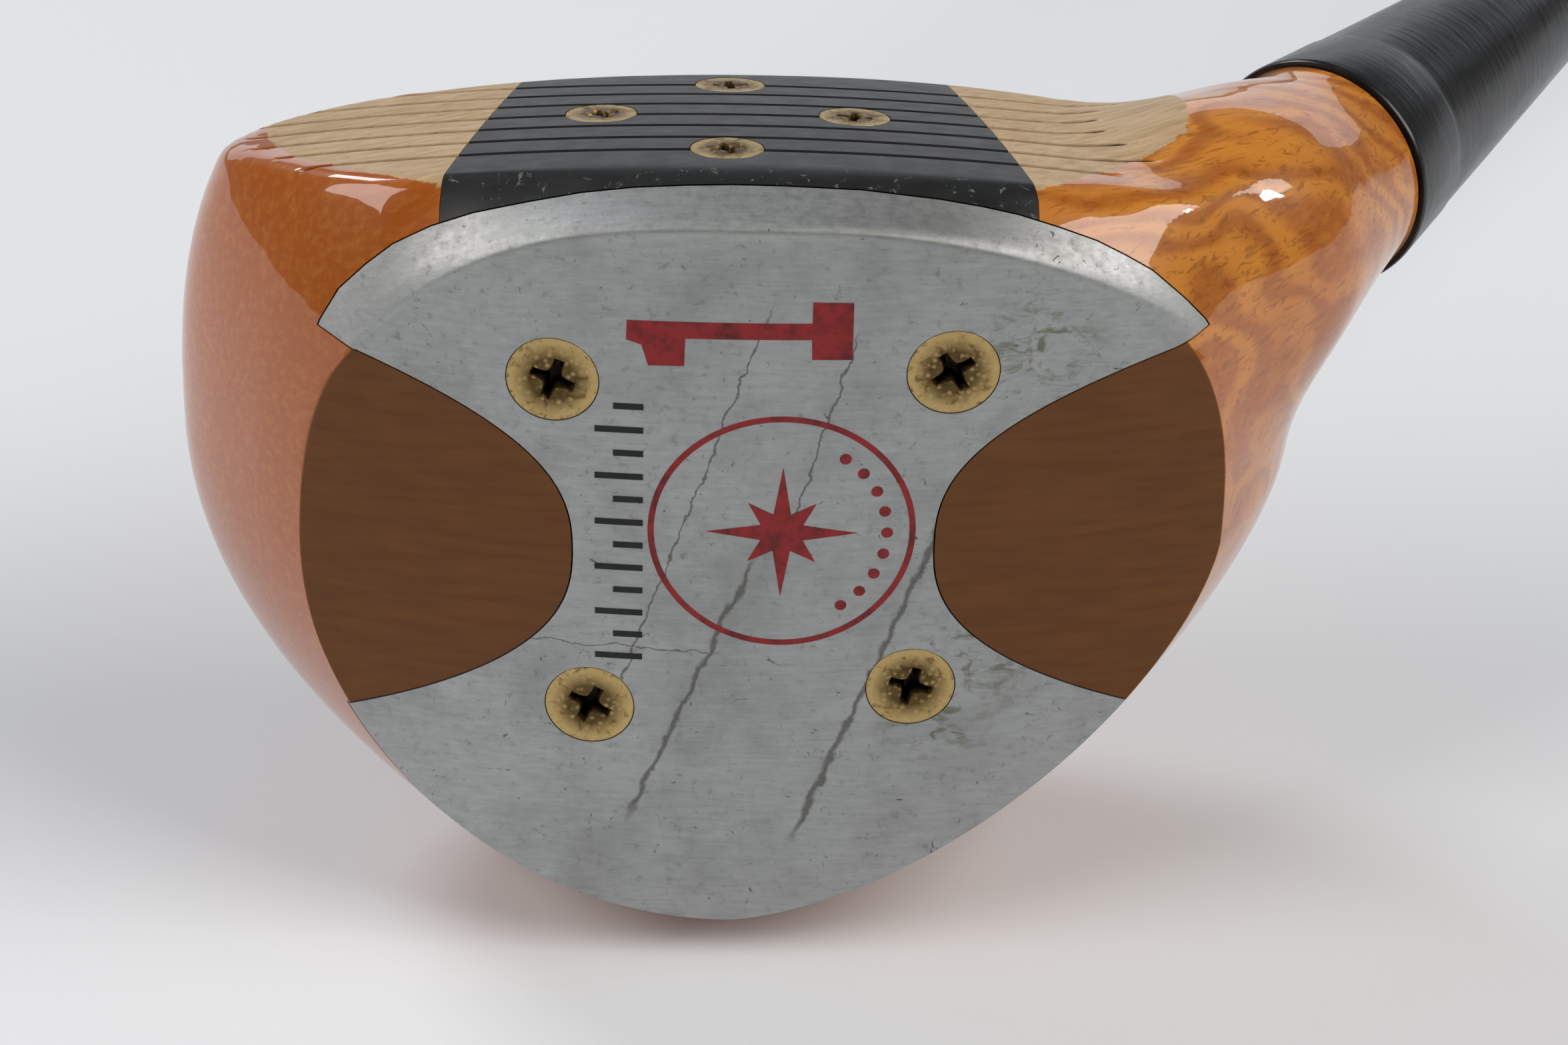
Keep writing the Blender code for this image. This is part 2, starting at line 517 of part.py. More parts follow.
pin = turned("neck_pin", rod_profile(PIN_RADIUS, under_sleeve(PIN_HEIGHT) - PIN_SHORT / 2), 16,
             colour=STEEL, roughness=0.4, metallic=1.0, parent=shaft_frame)
pin.matrix_local = across_neck
pin_hole = turned("neck_pin_hole", rod_profile(PIN_RADIUS + GAP, PIN_HOLE_HALF), 16, parent=shaft_frame)
pin_hole.matrix_local = across_neck
boolean(head_block, pin_hole)
boolean(shaft, pin_hole)

plug_radius, plug_top = tip_bore - GAP, SHAFT_TIP + TIP_PLUG_LENGTH
turned("tip_plug", [(0, plug_top), (plug_radius, plug_top), (plug_radius, SHAFT_TIP), (0, SHAFT_TIP)], 20,
       colour=CORK, roughness=0.9, parent=shaft_frame)

# Grip: tape on the shaft, then a slip-on rubber grip with a flared cap and a vent hole in its end.
tape_inner, tape_outer = BUTT_RADIUS + GAP, BUTT_RADIUS + GAP + TAPE_WALL
tube("underlisting_tape", last_step + TAPE_ABOVE_STEP, SHAFT_BUTT, lambda h: tape_outer,
     lambda h: tape_inner, 24, colour=PAPER, roughness=0.9)
grip_bore = tape_outer + GAP
cap_edge, cap_inside = GRIP_END - CAP_LENGTH, GRIP_END - CAP_WALL
turned("grip", [(CAP_RADIUS - GRIP_LIP, GRIP_END), (CAP_RADIUS, GRIP_END - GRIP_LIP),
                (CAP_RADIUS, cap_edge + GRIP_LIP), (GRIP_BUTT_RADIUS, cap_edge),
                (GRIP_MOUTH_RADIUS, GRIP_MOUTH + GRIP_LIP), (GRIP_MOUTH_RADIUS - GRIP_LIP_DEPTH, GRIP_MOUTH),
                (grip_bore, GRIP_MOUTH), (grip_bore, cap_inside), (VENT_RADIUS, cap_inside),
                (VENT_RADIUS, GRIP_END)],
       40, colour=RUBBER, roughness=0.8, parent=shaft_frame)

# The whole club is tipped so that the back of the head and the cap of the grip touch the floor.
lowest = rings.reshape(-1, 3)[rings.reshape(-1, 3)[:, 2].argmin()]
head_drop = NECK_RIM.z - lowest[2]
head_along = float((lowest - rim_point) @ rim_up)
tip = asin((head_drop - CAP_RADIUS) / (GRIP_END - CAP_LENGTH / 2 - head_along))
lean = Matrix.Rotation(tip, 4, Vector((-sin(LIE), cos(LIE), 0)))
club_frame.matrix_local = Matrix.Translation(HEAD_AT) @ lean
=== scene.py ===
"""A wooden golf driver lying on its back on a pale table, seen from the side of its sole.

Lengths are in metres and angles in radians, unless a name or a comment says otherwise. The head's own
frame has its origin in the middle of the sole, +X towards the heel, +Y from sole to crown and +Z out of
the face.
"""

from math import cos, pi, radians, sin, tan

import bmesh
import bpy
import numpy as np
from mathutils import Matrix, Vector


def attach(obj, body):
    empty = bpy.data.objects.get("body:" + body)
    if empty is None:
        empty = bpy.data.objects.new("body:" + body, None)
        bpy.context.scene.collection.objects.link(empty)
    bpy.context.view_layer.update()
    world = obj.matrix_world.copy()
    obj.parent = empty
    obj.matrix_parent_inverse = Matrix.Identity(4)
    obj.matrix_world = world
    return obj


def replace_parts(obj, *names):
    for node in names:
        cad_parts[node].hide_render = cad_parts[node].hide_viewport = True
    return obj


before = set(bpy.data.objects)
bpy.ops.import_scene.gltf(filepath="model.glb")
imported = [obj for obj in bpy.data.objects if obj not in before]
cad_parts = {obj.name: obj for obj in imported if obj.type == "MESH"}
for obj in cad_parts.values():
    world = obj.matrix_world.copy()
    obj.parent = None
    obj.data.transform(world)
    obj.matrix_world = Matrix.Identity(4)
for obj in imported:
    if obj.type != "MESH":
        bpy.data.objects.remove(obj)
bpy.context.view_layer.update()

# Studio: a matt pale table top under softboxes to the left, right and back, with a small lamp for a sharp
# highlight and a wide panel behind. The lens stands in front of the sole and looks down at it.
CAMERA_AT = (-0.306227, -0.729630, 0.234796)
CAMERA_TURN = (radians(56.1997), radians(0.0789), radians(-0.8257))
CAMERA_LENS = 88.9
TABLE_SIZE = 1.9
WORLD_LIGHT = 0.10
LOOKED_AT = Vector((-0.300, -0.450, 0.045))


def srgb(code):
    """A hex colour turned to linear light: below 0.04045 it is divided by 12.92, above it raised to 2.4."""
    part = np.array([int(code[i:i + 2], 16) / 255 for i in (1, 3, 5)])
    linear = np.where(part <= 0.04045, part / 12.92, ((part + 0.055) / 1.055) ** 2.4)
    return (*linear.tolist(), 1.0)


def add(tree, kind, inputs=None, out=0, **settings):
    """Adds one node and gives one of its outputs, if it has any. Each input takes a value, or another node's
    output to be linked from."""
    made = tree.nodes.new("ShaderNode" + kind)
    for name, value in settings.items():
        setattr(made, name, value)
    for key, value in (inputs or {}).items():
        if isinstance(value, bpy.types.NodeSocket):
            tree.links.new(value, made.inputs[key])
        else:
            made.inputs[key].default_value = value
    return made.outputs[out] if made.outputs else None


def new_material(name):
    """An empty material and its node tree, with an output waiting for a shader."""
    material = bpy.data.materials.new(name)
    material.use_nodes = True
    material.node_tree.nodes.clear()
    return material, material.node_tree


def surface(tree, inputs):
    """Ends a material with a Principled shader."""
    add(tree, "OutputMaterial", {"Surface": add(tree, "BsdfPrincipled", inputs)})


camera = bpy.data.objects.new("camera", bpy.data.cameras.new("camera"))
camera.data.lens = CAMERA_LENS
camera.data.clip_start = 0.01
camera.location = CAMERA_AT
camera.rotation_euler = CAMERA_TURN
bpy.context.scene.collection.objects.link(camera)
bpy.context.scene.camera = camera
bpy.context.scene.view_settings.view_transform = "Standard"

table_mesh = bpy.data.meshes.new("table_top")
half = TABLE_SIZE / 2
table_corners = [(-half, -half, 0), (half, -half, 0), (half, half, 0), (-half, half, 0)]
table_mesh.from_pydata(table_corners, [], [(0, 1, 2, 3)])
table_top = bpy.data.objects.new("table_top", table_mesh)
bpy.context.scene.collection.objects.link(table_top)
# Matt white laminate: almost no sheen, and a faint unevenness in its tone.
table_paint, tree = new_material("white_laminate")
cloud = add(tree, "TexNoise", {"Scale": 3.0, "Detail": 2.0})
tone = add(tree, "Mix", {0: cloud, 6: srgb("#E0E5E9"), 7: srgb("#E6EAEE")}, 2, data_type="RGBA")
surface(tree, {"Base Color": tone, "Roughness": 0.45, "Specular IOR Level": 0.3})
table_mesh.materials.append(table_paint)

world = bpy.data.worlds.new("studio")
world.use_nodes = True
world.node_tree.nodes["Background"].inputs["Color"].default_value = srgb("#EEF2F6")
world.node_tree.nodes["Background"].inputs["Strength"].default_value = WORLD_LIGHT
bpy.context.scene.world = world

# name: (place relative to what is looked at, size, watts, colour)
SOFTBOXES = {
    "left_softbox": ((-1.13, -0.42, 0.88), (0.95, 0.95), 12.5, "#FFF9F4"),
    "right_softbox": ((1.06, -0.34, 0.98), (0.95, 0.95), 15.0, "#FFF9F4"),
    "high_softbox": ((-0.90, 0.85, 1.15), (0.50, 0.50), 9.0, "#F6F9FF"),
    "small_lamp": ((1.27, -0.14, 0.57), (0.10, 0.10), 1.0, "#FFFFFF"),
    "rear_panel": ((0.0, 1.60, 0.28), (3.20, 0.50), 4.5, "#F6F9FF"),
}
for name, (place, size, watts, colour) in SOFTBOXES.items():
    light = bpy.data.lights.new(name, "AREA")
    light.shape = "RECTANGLE"
    light.size, light.size_y = size
    light.energy = watts
    light.color = srgb(colour)[:3]
    lamp = bpy.data.objects.new(name, light)
    lamp.location = LOOKED_AT + Vector(place)
    lamp.rotation_euler = (-Vector(place)).to_track_quat("-Z", "Y").to_euler()
    bpy.context.scene.collection.objects.link(lamp)

# Head block: persimmon-like hardwood turned on a copying lathe, stained honey brown and varnished. The
# face is left in clear wood with saw lines, and the two ears of the sole beside the plate are stained flat
# brown.
HEAD_AT = (-0.30265, -0.44997, 0.04669)
LIE, HEAD_LEAN = radians(55.0), radians(2.543487)
SOLE_CAMBER = 0.175
LOFT = radians(11.2)
FACE_FRONT, FACE_MIDDLE_X, FACE_MIDDLE_Y = 0.0287, -0.0048, 0.022
FACE_BULGE, FACE_ROLL = 0.290, 0.312
BODY_MIDDLE_X, BODY_MIDDLE_Z = -0.0045, -0.003
SOLE_REACH = {"toe": 0.0386, "heel": 0.0436, "front": 0.0365, "back": 0.0396}
GIRTH_REACH = {"toe": 0.0514, "heel": 0.0520, "front": 0.0480, "back": 0.0430}
GIRTH_HEIGHT, CROWN_HEIGHT, CROWN_RISE, CROWN_DEPTH = 0.019, 0.045, 0.05, 0.042
PLAN_POWERS = {"front_toe": 2.55, "front_heel": 2.75, "back_toe": 2.0, "back_heel": 1.55}
CROWN_POWER = 2.4
FACE_EDGE, SOLE_EDGE, BEVEL_EDGE, NECK_BLEND = 0.0012, 0.0002, 0.0006, 0.010
NECK_RIM = Vector((0.0500, 0.0380, 0.0163))
NECK_RADIUS, NECK_BELOW, NECK_TAPER, NECK_SPREAD = 0.01066, 0.014, 0.03, 0.05
SPIGOT_TOP, SPIGOT_RADIUS, SPIGOT_TAPER = 0.034, 0.00945, 0.097
BORE_RADIUS, BORE_DEPTH = 0.0046, 0.036
BEVEL_TOP, CREASE_FRONT, CREASE_MIDDLE = 0.0073, 0.0296, -0.001
CREASE_TOE, CREASE_HEEL = (0.0137, 0.0363, 3.2), (0.0106, 0.0363, 2.3)
LIP_RISE, LIP_HEIGHT = 0.0012, 0.00035
GROOVE_FIRST, GROOVE_PITCH, GROOVES = 0.0130, 0.0038, 7
GROOVE_HALF, GROOVE_DEPTH = 0.00034, 0.00050
SAW_HEIGHTS, SAW_TOE_ENDS = (0.0130, 0.0206, 0.0358), (-0.0420, -0.0468, -0.0495)
SAW_HEEL_ENDS = (0.0290, 0.0375, 0.0430)
SPINE_START, SPINE_TURN, SPINE_LEG = (-0.024, 0.020, -0.004), (0.010, 0.020, -0.004), 0.018
TOE_ROWS, STRAIGHT_ROWS, TURN_ROWS = 62, 40, 96
FOOT_LINES, TOP_LINES, BEVEL_LINES, SOLE_LINES, BACK_LINES = 10, 17, 16, 60, 112
FACE_TOP = 0.0465
RAY_LONGEST, RAY_STEPS, RAY_HALVINGS = 0.080, 80, 22
PLATE_GAP, INSERT_GAP, HEAD_SHARP = 0.00014, 0.00005, radians(28)

head_frame = Matrix.Translation(HEAD_AT) @ Matrix.Rotation(HEAD_LEAN, 4, Vector((-sin(LIE), cos(LIE), 0)))
neck_turn = Matrix.Rotation(LIE - pi / 2, 4, "Z") @ Matrix.Rotation(-pi / 2, 4, "X")
neck_frame = head_frame @ Matrix.Translation(NECK_RIM) @ neck_turn
shaft_way = np.array((cos(LIE), sin(LIE), 0))


def smooth_max(a, b, width):
    """The larger of two levels. Where they differ by less than the width, a parabola rounds the corner."""
    near = np.maximum(width - np.abs(a - b), 0) / width
    return np.maximum(a, b) + near * near * width / 4


def smooth_step(value, low, high):
    """0 below low, 1 above high, and 3t^2 - 2t^3 between them."""
    t = np.clip((value - low) / (high - low), 0, 1)
    return t * t * (3 - 2 * t)


def sole_height(x):
    return SOLE_CAMBER - np.sqrt(SOLE_CAMBER**2 - x * x)


def face_front(x, y):
    """How far forward the face is: it falls back with the loft, less the squares of bulge and roll."""
    across, up = x - FACE_MIDDLE_X, y - FACE_MIDDLE_Y
    return FACE_FRONT - tan(LOFT) * up - across**2 / (2 * FACE_BULGE) - up**2 / (2 * FACE_ROLL)


def body_level(p):
    """Negative inside the body. Its plan is a superellipse |x/a|^n + |z/b|^n that swells from sole to
    girth along a quarter sine, and above the girth the plan and the height close into a dome by a power of
    their own."""
    across, forward = p[..., 0] - BODY_MIDDLE_X, p[..., 2] - BODY_MIDDLE_Z
    above_sole = np.clip((p[..., 1] - sole_height(p[..., 0])) / GIRTH_HEIGHT, -0.5, 1)
    swell = np.sin(pi / 2 * above_sole)
    crown = CROWN_HEIGHT + CROWN_RISE * np.clip(p[..., 0], -0.06, 0.03) - GIRTH_HEIGHT
    above_girth = np.clip((p[..., 1] - GIRTH_HEIGHT) / crown, 0, 3)
    reach = {way: SOLE_REACH[way] + (GIRTH_REACH[way] - SOLE_REACH[way]) * swell for way in SOLE_REACH}
    toe, front = across < 0, forward > 0
    corners = [PLAN_POWERS[corner] for corner in ("front_toe", "front_heel", "back_toe")]
    power = np.select([front & toe, front, toe], corners, PLAN_POWERS["back_heel"])
    share_x = np.abs(across) / np.where(toe, reach["toe"], reach["heel"])
    share_z = np.abs(forward) / np.where(front, reach["front"], reach["back"])
    plan = (share_x**power + share_z**power) ** (1 / power)
    share = (plan**CROWN_POWER + above_girth**CROWN_POWER) ** (1 / CROWN_POWER)
    return (share - 1) * np.where(above_girth > plan, crown, CROWN_DEPTH)


def neck_level(p):
    """Negative inside the neck: a cone on the shaft's line that spreads towards a ball end down in the
    heel."""
    from_rim = p - np.array(NECK_RIM)
    along = from_rim @ shaft_way
    off_line = np.linalg.norm(from_rim - along[..., None] * shaft_way, axis=-1)
    radius = NECK_RADIUS - NECK_TAPER * along + NECK_SPREAD * np.maximum(-along, 0)
    return np.hypot(off_line, np.maximum(-NECK_BELOW - along, 0)) - radius


def upper_level(p):
    """Negative inside the wood above the sole: the body cut by the face, and joined softly to the neck."""
    cut = smooth_max(body_level(p), p[..., 2] - face_front(p[..., 0], p[..., 1]), FACE_EDGE)
    return -smooth_max(-cut, -neck_level(p), NECK_BLEND)


def crease_front(x):
    """Where the bevel under the face meets the sole: its z falls off from the middle as a power of x."""
    off = x - CREASE_MIDDLE
    drop = [fall * (np.abs(off) / run) ** power for fall, run, power in (CREASE_TOE, CREASE_HEEL)]
    return CREASE_FRONT - np.where(off < 0, *drop)


def bevel_level(p):
    """Negative behind the bevel, straight lines from the crease on the sole up to one height on the face."""
    x = np.clip(p[..., 0], -0.05, 0.05)
    crease, low = crease_front(x), sole_height(x)
    slope = (face_front(x, BEVEL_TOP) - crease) / (BEVEL_TOP - low)
    return (p[..., 2] - crease - slope * (p[..., 1] - low)) / np.sqrt(1 + slope * slope)


def outer_level(p):
    """The wood above the sole, with the bevel cut along the foot of the face. At the corners their edge
    softens."""
    corner = smooth_step(np.abs(p[..., 0] - FACE_MIDDLE_X), 0.024, 0.034)
    return smooth_max(upper_level(p), bevel_level(p), BEVEL_EDGE + 0.003 * corner)


def sole_level(p):
    """Negative above the sole. Just behind the crease the sole stands out into a low rounded lip."""
    behind = crease_front(np.clip(p[..., 0], -0.05, 0.05)) - p[..., 2]
    lip = smooth_step(behind, LIP_RISE, 0.0002) * smooth_step(p[..., 2], 0.010, 0.016)
    return sole_height(p[..., 0]) - LIP_HEIGHT * lip - p[..., 1]


def edge_width(p):
    """The sole's edge is crisp round the back and a little rounded along the lip."""
    return SOLE_EDGE + 0.0010 * smooth_step(p[..., 2], 0.014, 0.018)


def head_level(p):
    return smooth_max(outer_level(p), sole_level(p), edge_width(p))


def head_rays():
    """Where the rays start and which way they run. Their starts lie along a straight line and a Bezier
    turn up into the neck, headings staying square to the face. Rays of one row fan out round the start,
    and the rows of the toe tilt round to one pole."""
    rim = np.array(NECK_RIM)
    straight = np.linspace(0, 1, STRAIGHT_ROWS, endpoint=False)[:, None]
    t = np.linspace(0, 1, TURN_ROWS)[:, None]
    legs = [np.array(SPINE_TURN), np.array(SPINE_TURN) + (SPINE_LEG, 0, 0), rim - SPINE_LEG * shaft_way, rim]
    shares = ((1 - t)**3, 3 * (1 - t)**2 * t, 3 * (1 - t) * t**2, t**3)
    curve = sum(share * leg for share, leg in zip(shares, legs))
    centre = np.concatenate([SPINE_START + (legs[0] - SPINE_START) * straight, curve])
    heading = np.gradient(centre, axis=0) * (1, 1, 0)
    heading[0], heading[-1] = (1, 0, 0), shaft_way
    heading /= np.linalg.norm(heading, axis=1)[:, None]
    toe_tilt = np.linspace(0, pi / 2, TOE_ROWS + 1)[1:-1]
    tilt = np.concatenate([toe_tilt, np.full(len(centre), pi / 2)])[:, None]
    centre = np.concatenate([np.repeat(centre[:1], len(toe_tilt), 0), centre])
    heading = np.concatenate([np.repeat(heading[:1], len(toe_tilt), 0), heading])
    let_go = smooth_step(t[:, 0], 0.80, 0.97)
    follow = np.concatenate([np.ones(len(toe_tilt) + STRAIGHT_ROWS), 1 - let_go])[:, None]
    side = np.stack([heading[:, 1], -heading[:, 0]], 1)
    usual = len(toe_tilt) + STRAIGHT_ROWS // 2

    def aimed(height, depth):
        """The angle of each row's ray at a line on the head, given by its height and depth as functions of
        x. The height gives the ray's run a to the side, the depth its run b forwards, and the angle is
        atan2(a, b)."""
        b = FACE_FRONT
        x = centre[:, :1]
        for _ in range(5):
            a = (height(x) - centre[:, 1:2]) / side[:, 1:2]
            x = centre[:, :1] + a * side[:, :1] - np.hypot(a, b) / np.tan(tilt)
            b = depth(x) - centre[:, 2:3]
        angles = np.arctan2(a, b)
        return follow * angles + (1 - follow) * angles[usual]

    # Seven lines go to each saw line of the face and seven more to the lip of the sole.
    saw = GROOVE_FIRST + GROOVE_PITCH * np.arange(GROOVES)
    across_saw = GROOVE_HALF * np.array((-1.1, -0.75, -0.4, 0, 0.4, 0.75, 1.1))
    between = GROOVE_PITCH * np.array((0.2, 0.4, 0.6, 0.8))
    heights = np.concatenate([(saw[:, None] + across_saw).ravel(), (saw[:-1, None] + between).ravel(),
                              np.linspace(BEVEL_TOP, saw[0], FOOT_LINES + 1)[:-1],
                              np.linspace(saw[-1], FACE_TOP, TOP_LINES + 1)[1:]])
    heights = np.sort(heights)[::-1]
    behind = np.array((-0.0003, 0.0, 0.0003, 0.0006, 0.0009, 0.0012, 0.0016))
    face_angle = aimed(lambda x: heights + 0 * x, lambda x: face_front(np.clip(x, -0.052, 0.048), heights))
    lip_angle = aimed(lambda x: sole_height(np.clip(x, -0.05, 0.05)) + 0 * behind,
                      lambda x: crease_front(np.clip(x, -0.038, 0.038)) - behind)

    # The other lines are spread over the bevel, under the sole, up the back and over the crown, and shift
    # from row to row with the lines beside them.
    start_height, sole_back = SPINE_START[1], -0.034
    bevel = np.linspace(face_angle[usual, -1], lip_angle[usual, 0], BEVEL_LINES + 2)[1:-1]
    sole_from = start_height / np.tan(lip_angle[usual, -1])
    sole = np.arctan2(start_height, np.linspace(sole_from, sole_back, SOLE_LINES + 1)[1:])
    back = np.linspace(sole[-1], face_angle[usual, 0] + 2 * pi, BACK_LINES + 2)[1:-1]
    fixed = np.broadcast_to((pi / 2, 3 * pi / 2), (len(centre), 2))
    anchors = np.concatenate([face_angle[:, -1:], lip_angle[:, [0, -1]], fixed,
                              face_angle[:, :1] + 2 * pi], 1)
    spread = [np.stack([np.interp(lines, anchors[usual], row) for row in anchors])
              for lines in (bevel, np.concatenate([sole, back]))]
    angle = np.concatenate([face_angle, spread[0], lip_angle, spread[1]], 1)
    flat = np.sin(angle)[..., None] * np.concatenate([side, np.zeros((len(side), 1))], 1)[:, None]
    flat[..., 2] += np.cos(angle)
    rays = np.sin(tilt)[..., None] * flat - np.cos(tilt)[..., None] * heading[:, None]
    return centre[:, None], rays


def reach_surface(level, starts, rays):
    """The first crossing of each ray out of the wood: stepped inwards from outside, then halved down."""
    outside = np.full(rays.shape[:2], RAY_LONGEST)
    step = RAY_LONGEST / RAY_STEPS
    for reach in np.linspace(RAY_LONGEST, step, RAY_STEPS):
        outside = np.where(level(starts + rays * reach) > 0, reach, outside)
    inside = outside - step
    for _ in range(RAY_HALVINGS):
        middle = (inside + outside) / 2
        beyond = level(starts + rays * middle[..., None]) > 0
        outside = np.where(beyond, middle, outside)
        inside = np.where(beyond, inside, middle)
    return starts + rays * inside[..., None]


def pulled_to_edge(grid):
    """Points next to the sole's crisp edge are pulled onto it, so that it runs as one clean line. The two
    levels are taken to zero together by Newton's method. Also gives which points were pulled."""
    def both(p):
        return np.stack([outer_level(p), sole_level(p)], -1)
    ahead = both(grid)
    which_side = ahead[..., 1] - ahead[..., 0]
    pull = np.zeros(which_side.shape, bool)
    for axis, shift in ((0, 1), (0, -1), (1, 1), (1, -1)):
        other = np.roll(which_side, shift, axis)
        pull |= (other * which_side < 0) & (np.abs(which_side) <= np.abs(other))
    pull &= edge_width(grid) < 0.0006
    pull[[0, -1]] = False
    moved, nudge = grid[pull], 0.00001
    for _ in range(6):
        here = both(moved)
        slope = np.stack([(both(moved + nudge * way) - here) / nudge for way in np.eye(3)], -1)
        moved = moved - np.einsum("nij,nj->ni", np.linalg.pinv(slope), here)
    pulled = grid.copy()
    pulled[pull] = moved
    return pulled, pull


def saw_share(p):
    """How far into a saw line a point of the face is: one on each line, falling to nothing by a parabola
    at half its width."""
    x, y, z = p[..., 0], p[..., 1], p[..., 2]
    nearest = np.clip(np.round((y - GROOVE_FIRST) / GROOVE_PITCH), 0, GROOVES - 1)
    off = (y - GROOVE_FIRST - GROOVE_PITCH * nearest) / GROOVE_HALF
    on_face = smooth_step(np.abs(z - face_front(x, y)), 0.0010, 0.0005)
    toe_end, heel_end = (np.interp(y, SAW_HEIGHTS, line) for line in (SAW_TOE_ENDS, SAW_HEEL_ENDS))
    ends = smooth_step(x, toe_end, toe_end + 0.0015) * smooth_step(x, heel_end, heel_end - 0.0030)
    return np.maximum(1 - off * off, 0) * on_face * ends


def with_saw_lines(grid):
    sunk = grid.copy()
    sunk[..., 2] -= GROOVE_DEPTH * saw_share(grid)
    return sunk


def placed(points, place):
    """Points of a frame moved to where the frame stands."""
    turn = np.array(place)
    return points @ turn[:3, :3].T + turn[:3, 3]


def grid_mesh(name, grid, place, split=None, first=None):
    """A grid whose rows close round, joined into faces. Its last row is closed flat, and its first row
    flat too or by a fan to one point. A square whose two opposite corners are marked in split is cut
    between them."""
    rows, columns = grid.shape[:2]
    index = np.arange(rows * columns).reshape(rows, columns)
    beside = np.roll(index, -1, 1)
    square = np.stack([index[:-1], beside[:-1], beside[1:], index[1:]], -1).reshape(-1, 4)
    points = grid.reshape(-1, 3)
    faces = []
    if split is not None:
        marked = split.reshape(-1)[square]
        one_way = marked[:, 0] & marked[:, 2] & ~marked[:, 1] & ~marked[:, 3]
        other_way = marked[:, 1] & marked[:, 3] & ~marked[:, 0] & ~marked[:, 2]
        for which, corners in ((one_way, (0, 1, 2, 0, 2, 3)), (other_way, (0, 1, 3, 1, 2, 3))):
            faces += square[which][:, corners].reshape(-1, 3).tolist()
        square = square[~one_way & ~other_way]
    faces += square.tolist()
    faces.append(index[-1].tolist())
    if first is None:
        faces.append(index[0][::-1].tolist())
    else:
        points = np.concatenate([points, [first]])
        faces += [[rows * columns, int(b), int(a)] for a, b in zip(index[0], beside[0])]
    mesh = bpy.data.meshes.new(name)
    mesh.from_pydata(placed(points, place).tolist(), [], faces)
    shape = bmesh.new()
    shape.from_mesh(mesh)
    bmesh.ops.recalc_face_normals(shape, faces=shape.faces)
    shape.to_mesh(mesh)
    shape.free()
    mesh.shade_smooth()
    return mesh


def stand(name, mesh):
    made = bpy.data.objects.new(name, mesh)
    bpy.context.scene.collection.objects.link(made)
    return made


def carve(piece, *cuts):
    """Boolean cuts, each (operation, tool mesh), worked into the piece's mesh one after the other."""
    for operation, tool_mesh in cuts:
        tool = stand("tool", tool_mesh)
        modifier = piece.modifiers.new("cut", "BOOLEAN")
        modifier.operation, modifier.solver, modifier.object = operation, "EXACT", tool
        graph = bpy.context.evaluated_depsgraph_get()
        cut = bpy.data.meshes.new_from_object(piece.evaluated_get(graph))
        piece.modifiers.clear()
        piece.data = cut
        bpy.data.objects.remove(tool)


def prism(outline, low, high, axes):
    """A flat outline carried straight between two heights. axes puts its plane and height into the head's."""
    ring = np.concatenate([np.column_stack([outline, np.full(len(outline), h)]) for h in (low, high)])
    return grid_mesh("tool", placed(ring, axes).reshape(2, len(outline), 3), head_frame)


def offset(outline, distance):
    """An outline that runs anticlockwise, moved outwards by a distance along its own normals."""
    before, after = outline - np.roll(outline, 1, 0), np.roll(outline, -1, 0) - outline
    before /= np.linalg.norm(before, axis=1)[:, None]
    after /= np.linalg.norm(after, axis=1)[:, None]
    normal = np.stack([before[:, 1] + after[:, 1], -before[:, 0] - after[:, 0]], 1)
    return outline + distance * normal / (1 + (before * after).sum(1))[:, None]


starts, rays = head_rays()
head_grid = reach_surface(head_level, starts, rays)
head_grid, on_edge = pulled_to_edge(head_grid)
plain_grid = head_grid
head_grid = with_saw_lines(head_grid)
toe_pole = reach_surface(head_level, starts[:1, :1], np.array([[(-1.0, 0, 0)]]))[0, 0]
spoke = rays[-1]
rim = np.array(NECK_RIM)
spigot = [(SPIGOT_RADIUS - SPIGOT_TAPER * h, h) for h in (0, SPIGOT_TOP)]
spigot += [(BORE_RADIUS, SPIGOT_TOP), (BORE_RADIUS, -BORE_DEPTH)]
spigot_rings = np.array([rim + shaft_way * h + spoke * radius for radius, h in spigot])
no_edge = np.zeros((len(spigot), on_edge.shape[1]), bool)

head_block = stand("head_wood", grid_mesh("head_wood", np.concatenate([head_grid, spigot_rings]), head_frame,
                                          np.concatenate([on_edge, no_edge]), toe_pole))


# Sole plate: cast and ground aluminium, hourglass shaped, let into the sole flush with the wood and held
# by four brass screws. Its leading edge is rolled into a lip.
PLATE_THICKNESS, FLANGE_Z, FLANGE_TOP, PLATE_PROUD = 0.0025, 0.0262, 0.0068, 0.0002
# The plate's front edge on the bevel, carried down to the sole along FRONT_LEAN (forwards per unit of
# height), as (x, z) in millimetres from the heel out to the toe.
FRONT_LEAN = -0.5035
FRONT_EDGE = np.array([(39.3, 16.5), (36.0, 21.36), (33.98, 23.38), (31.01, 25.97), (28.67, 27.35),
                       (26.09, 28.71), (22.86, 29.92), (19.37, 31.06), (16.31, 31.76), (12.69, 32.40),
                       (6.11, 33.17), (-0.52, 33.44), (-4.78, 33.49), (-8.69, 33.37), (-13.05, 33.11),
                       (-17.52, 32.54), (-22.05, 31.59), (-26.55, 30.51), (-30.18, 29.19),
                       (-33.41, 27.46), (-35.77, 25.48), (-38.17, 23.12), (-39.9, 20.1), (-42.0, 15.0),
                       (-60, 12), (-60, -60), (60, -60), (60, 12)]) / 1000
TOE_NOTCH = {"waist": -0.0182, "middle": -0.0028, "depth": 0.0034, "rise": 0.0092, "power": 2.5}
HEEL_NOTCH = {"waist": 0.0133, "middle": -0.0015, "depth": 0.0026, "rise": 0.0083, "power": 2.55}
NOTCH_POINTS, OUTLINE_POINTS, CLEAR_OF_FRONT = 121, 360, (radians(15), radians(168), 0.060)
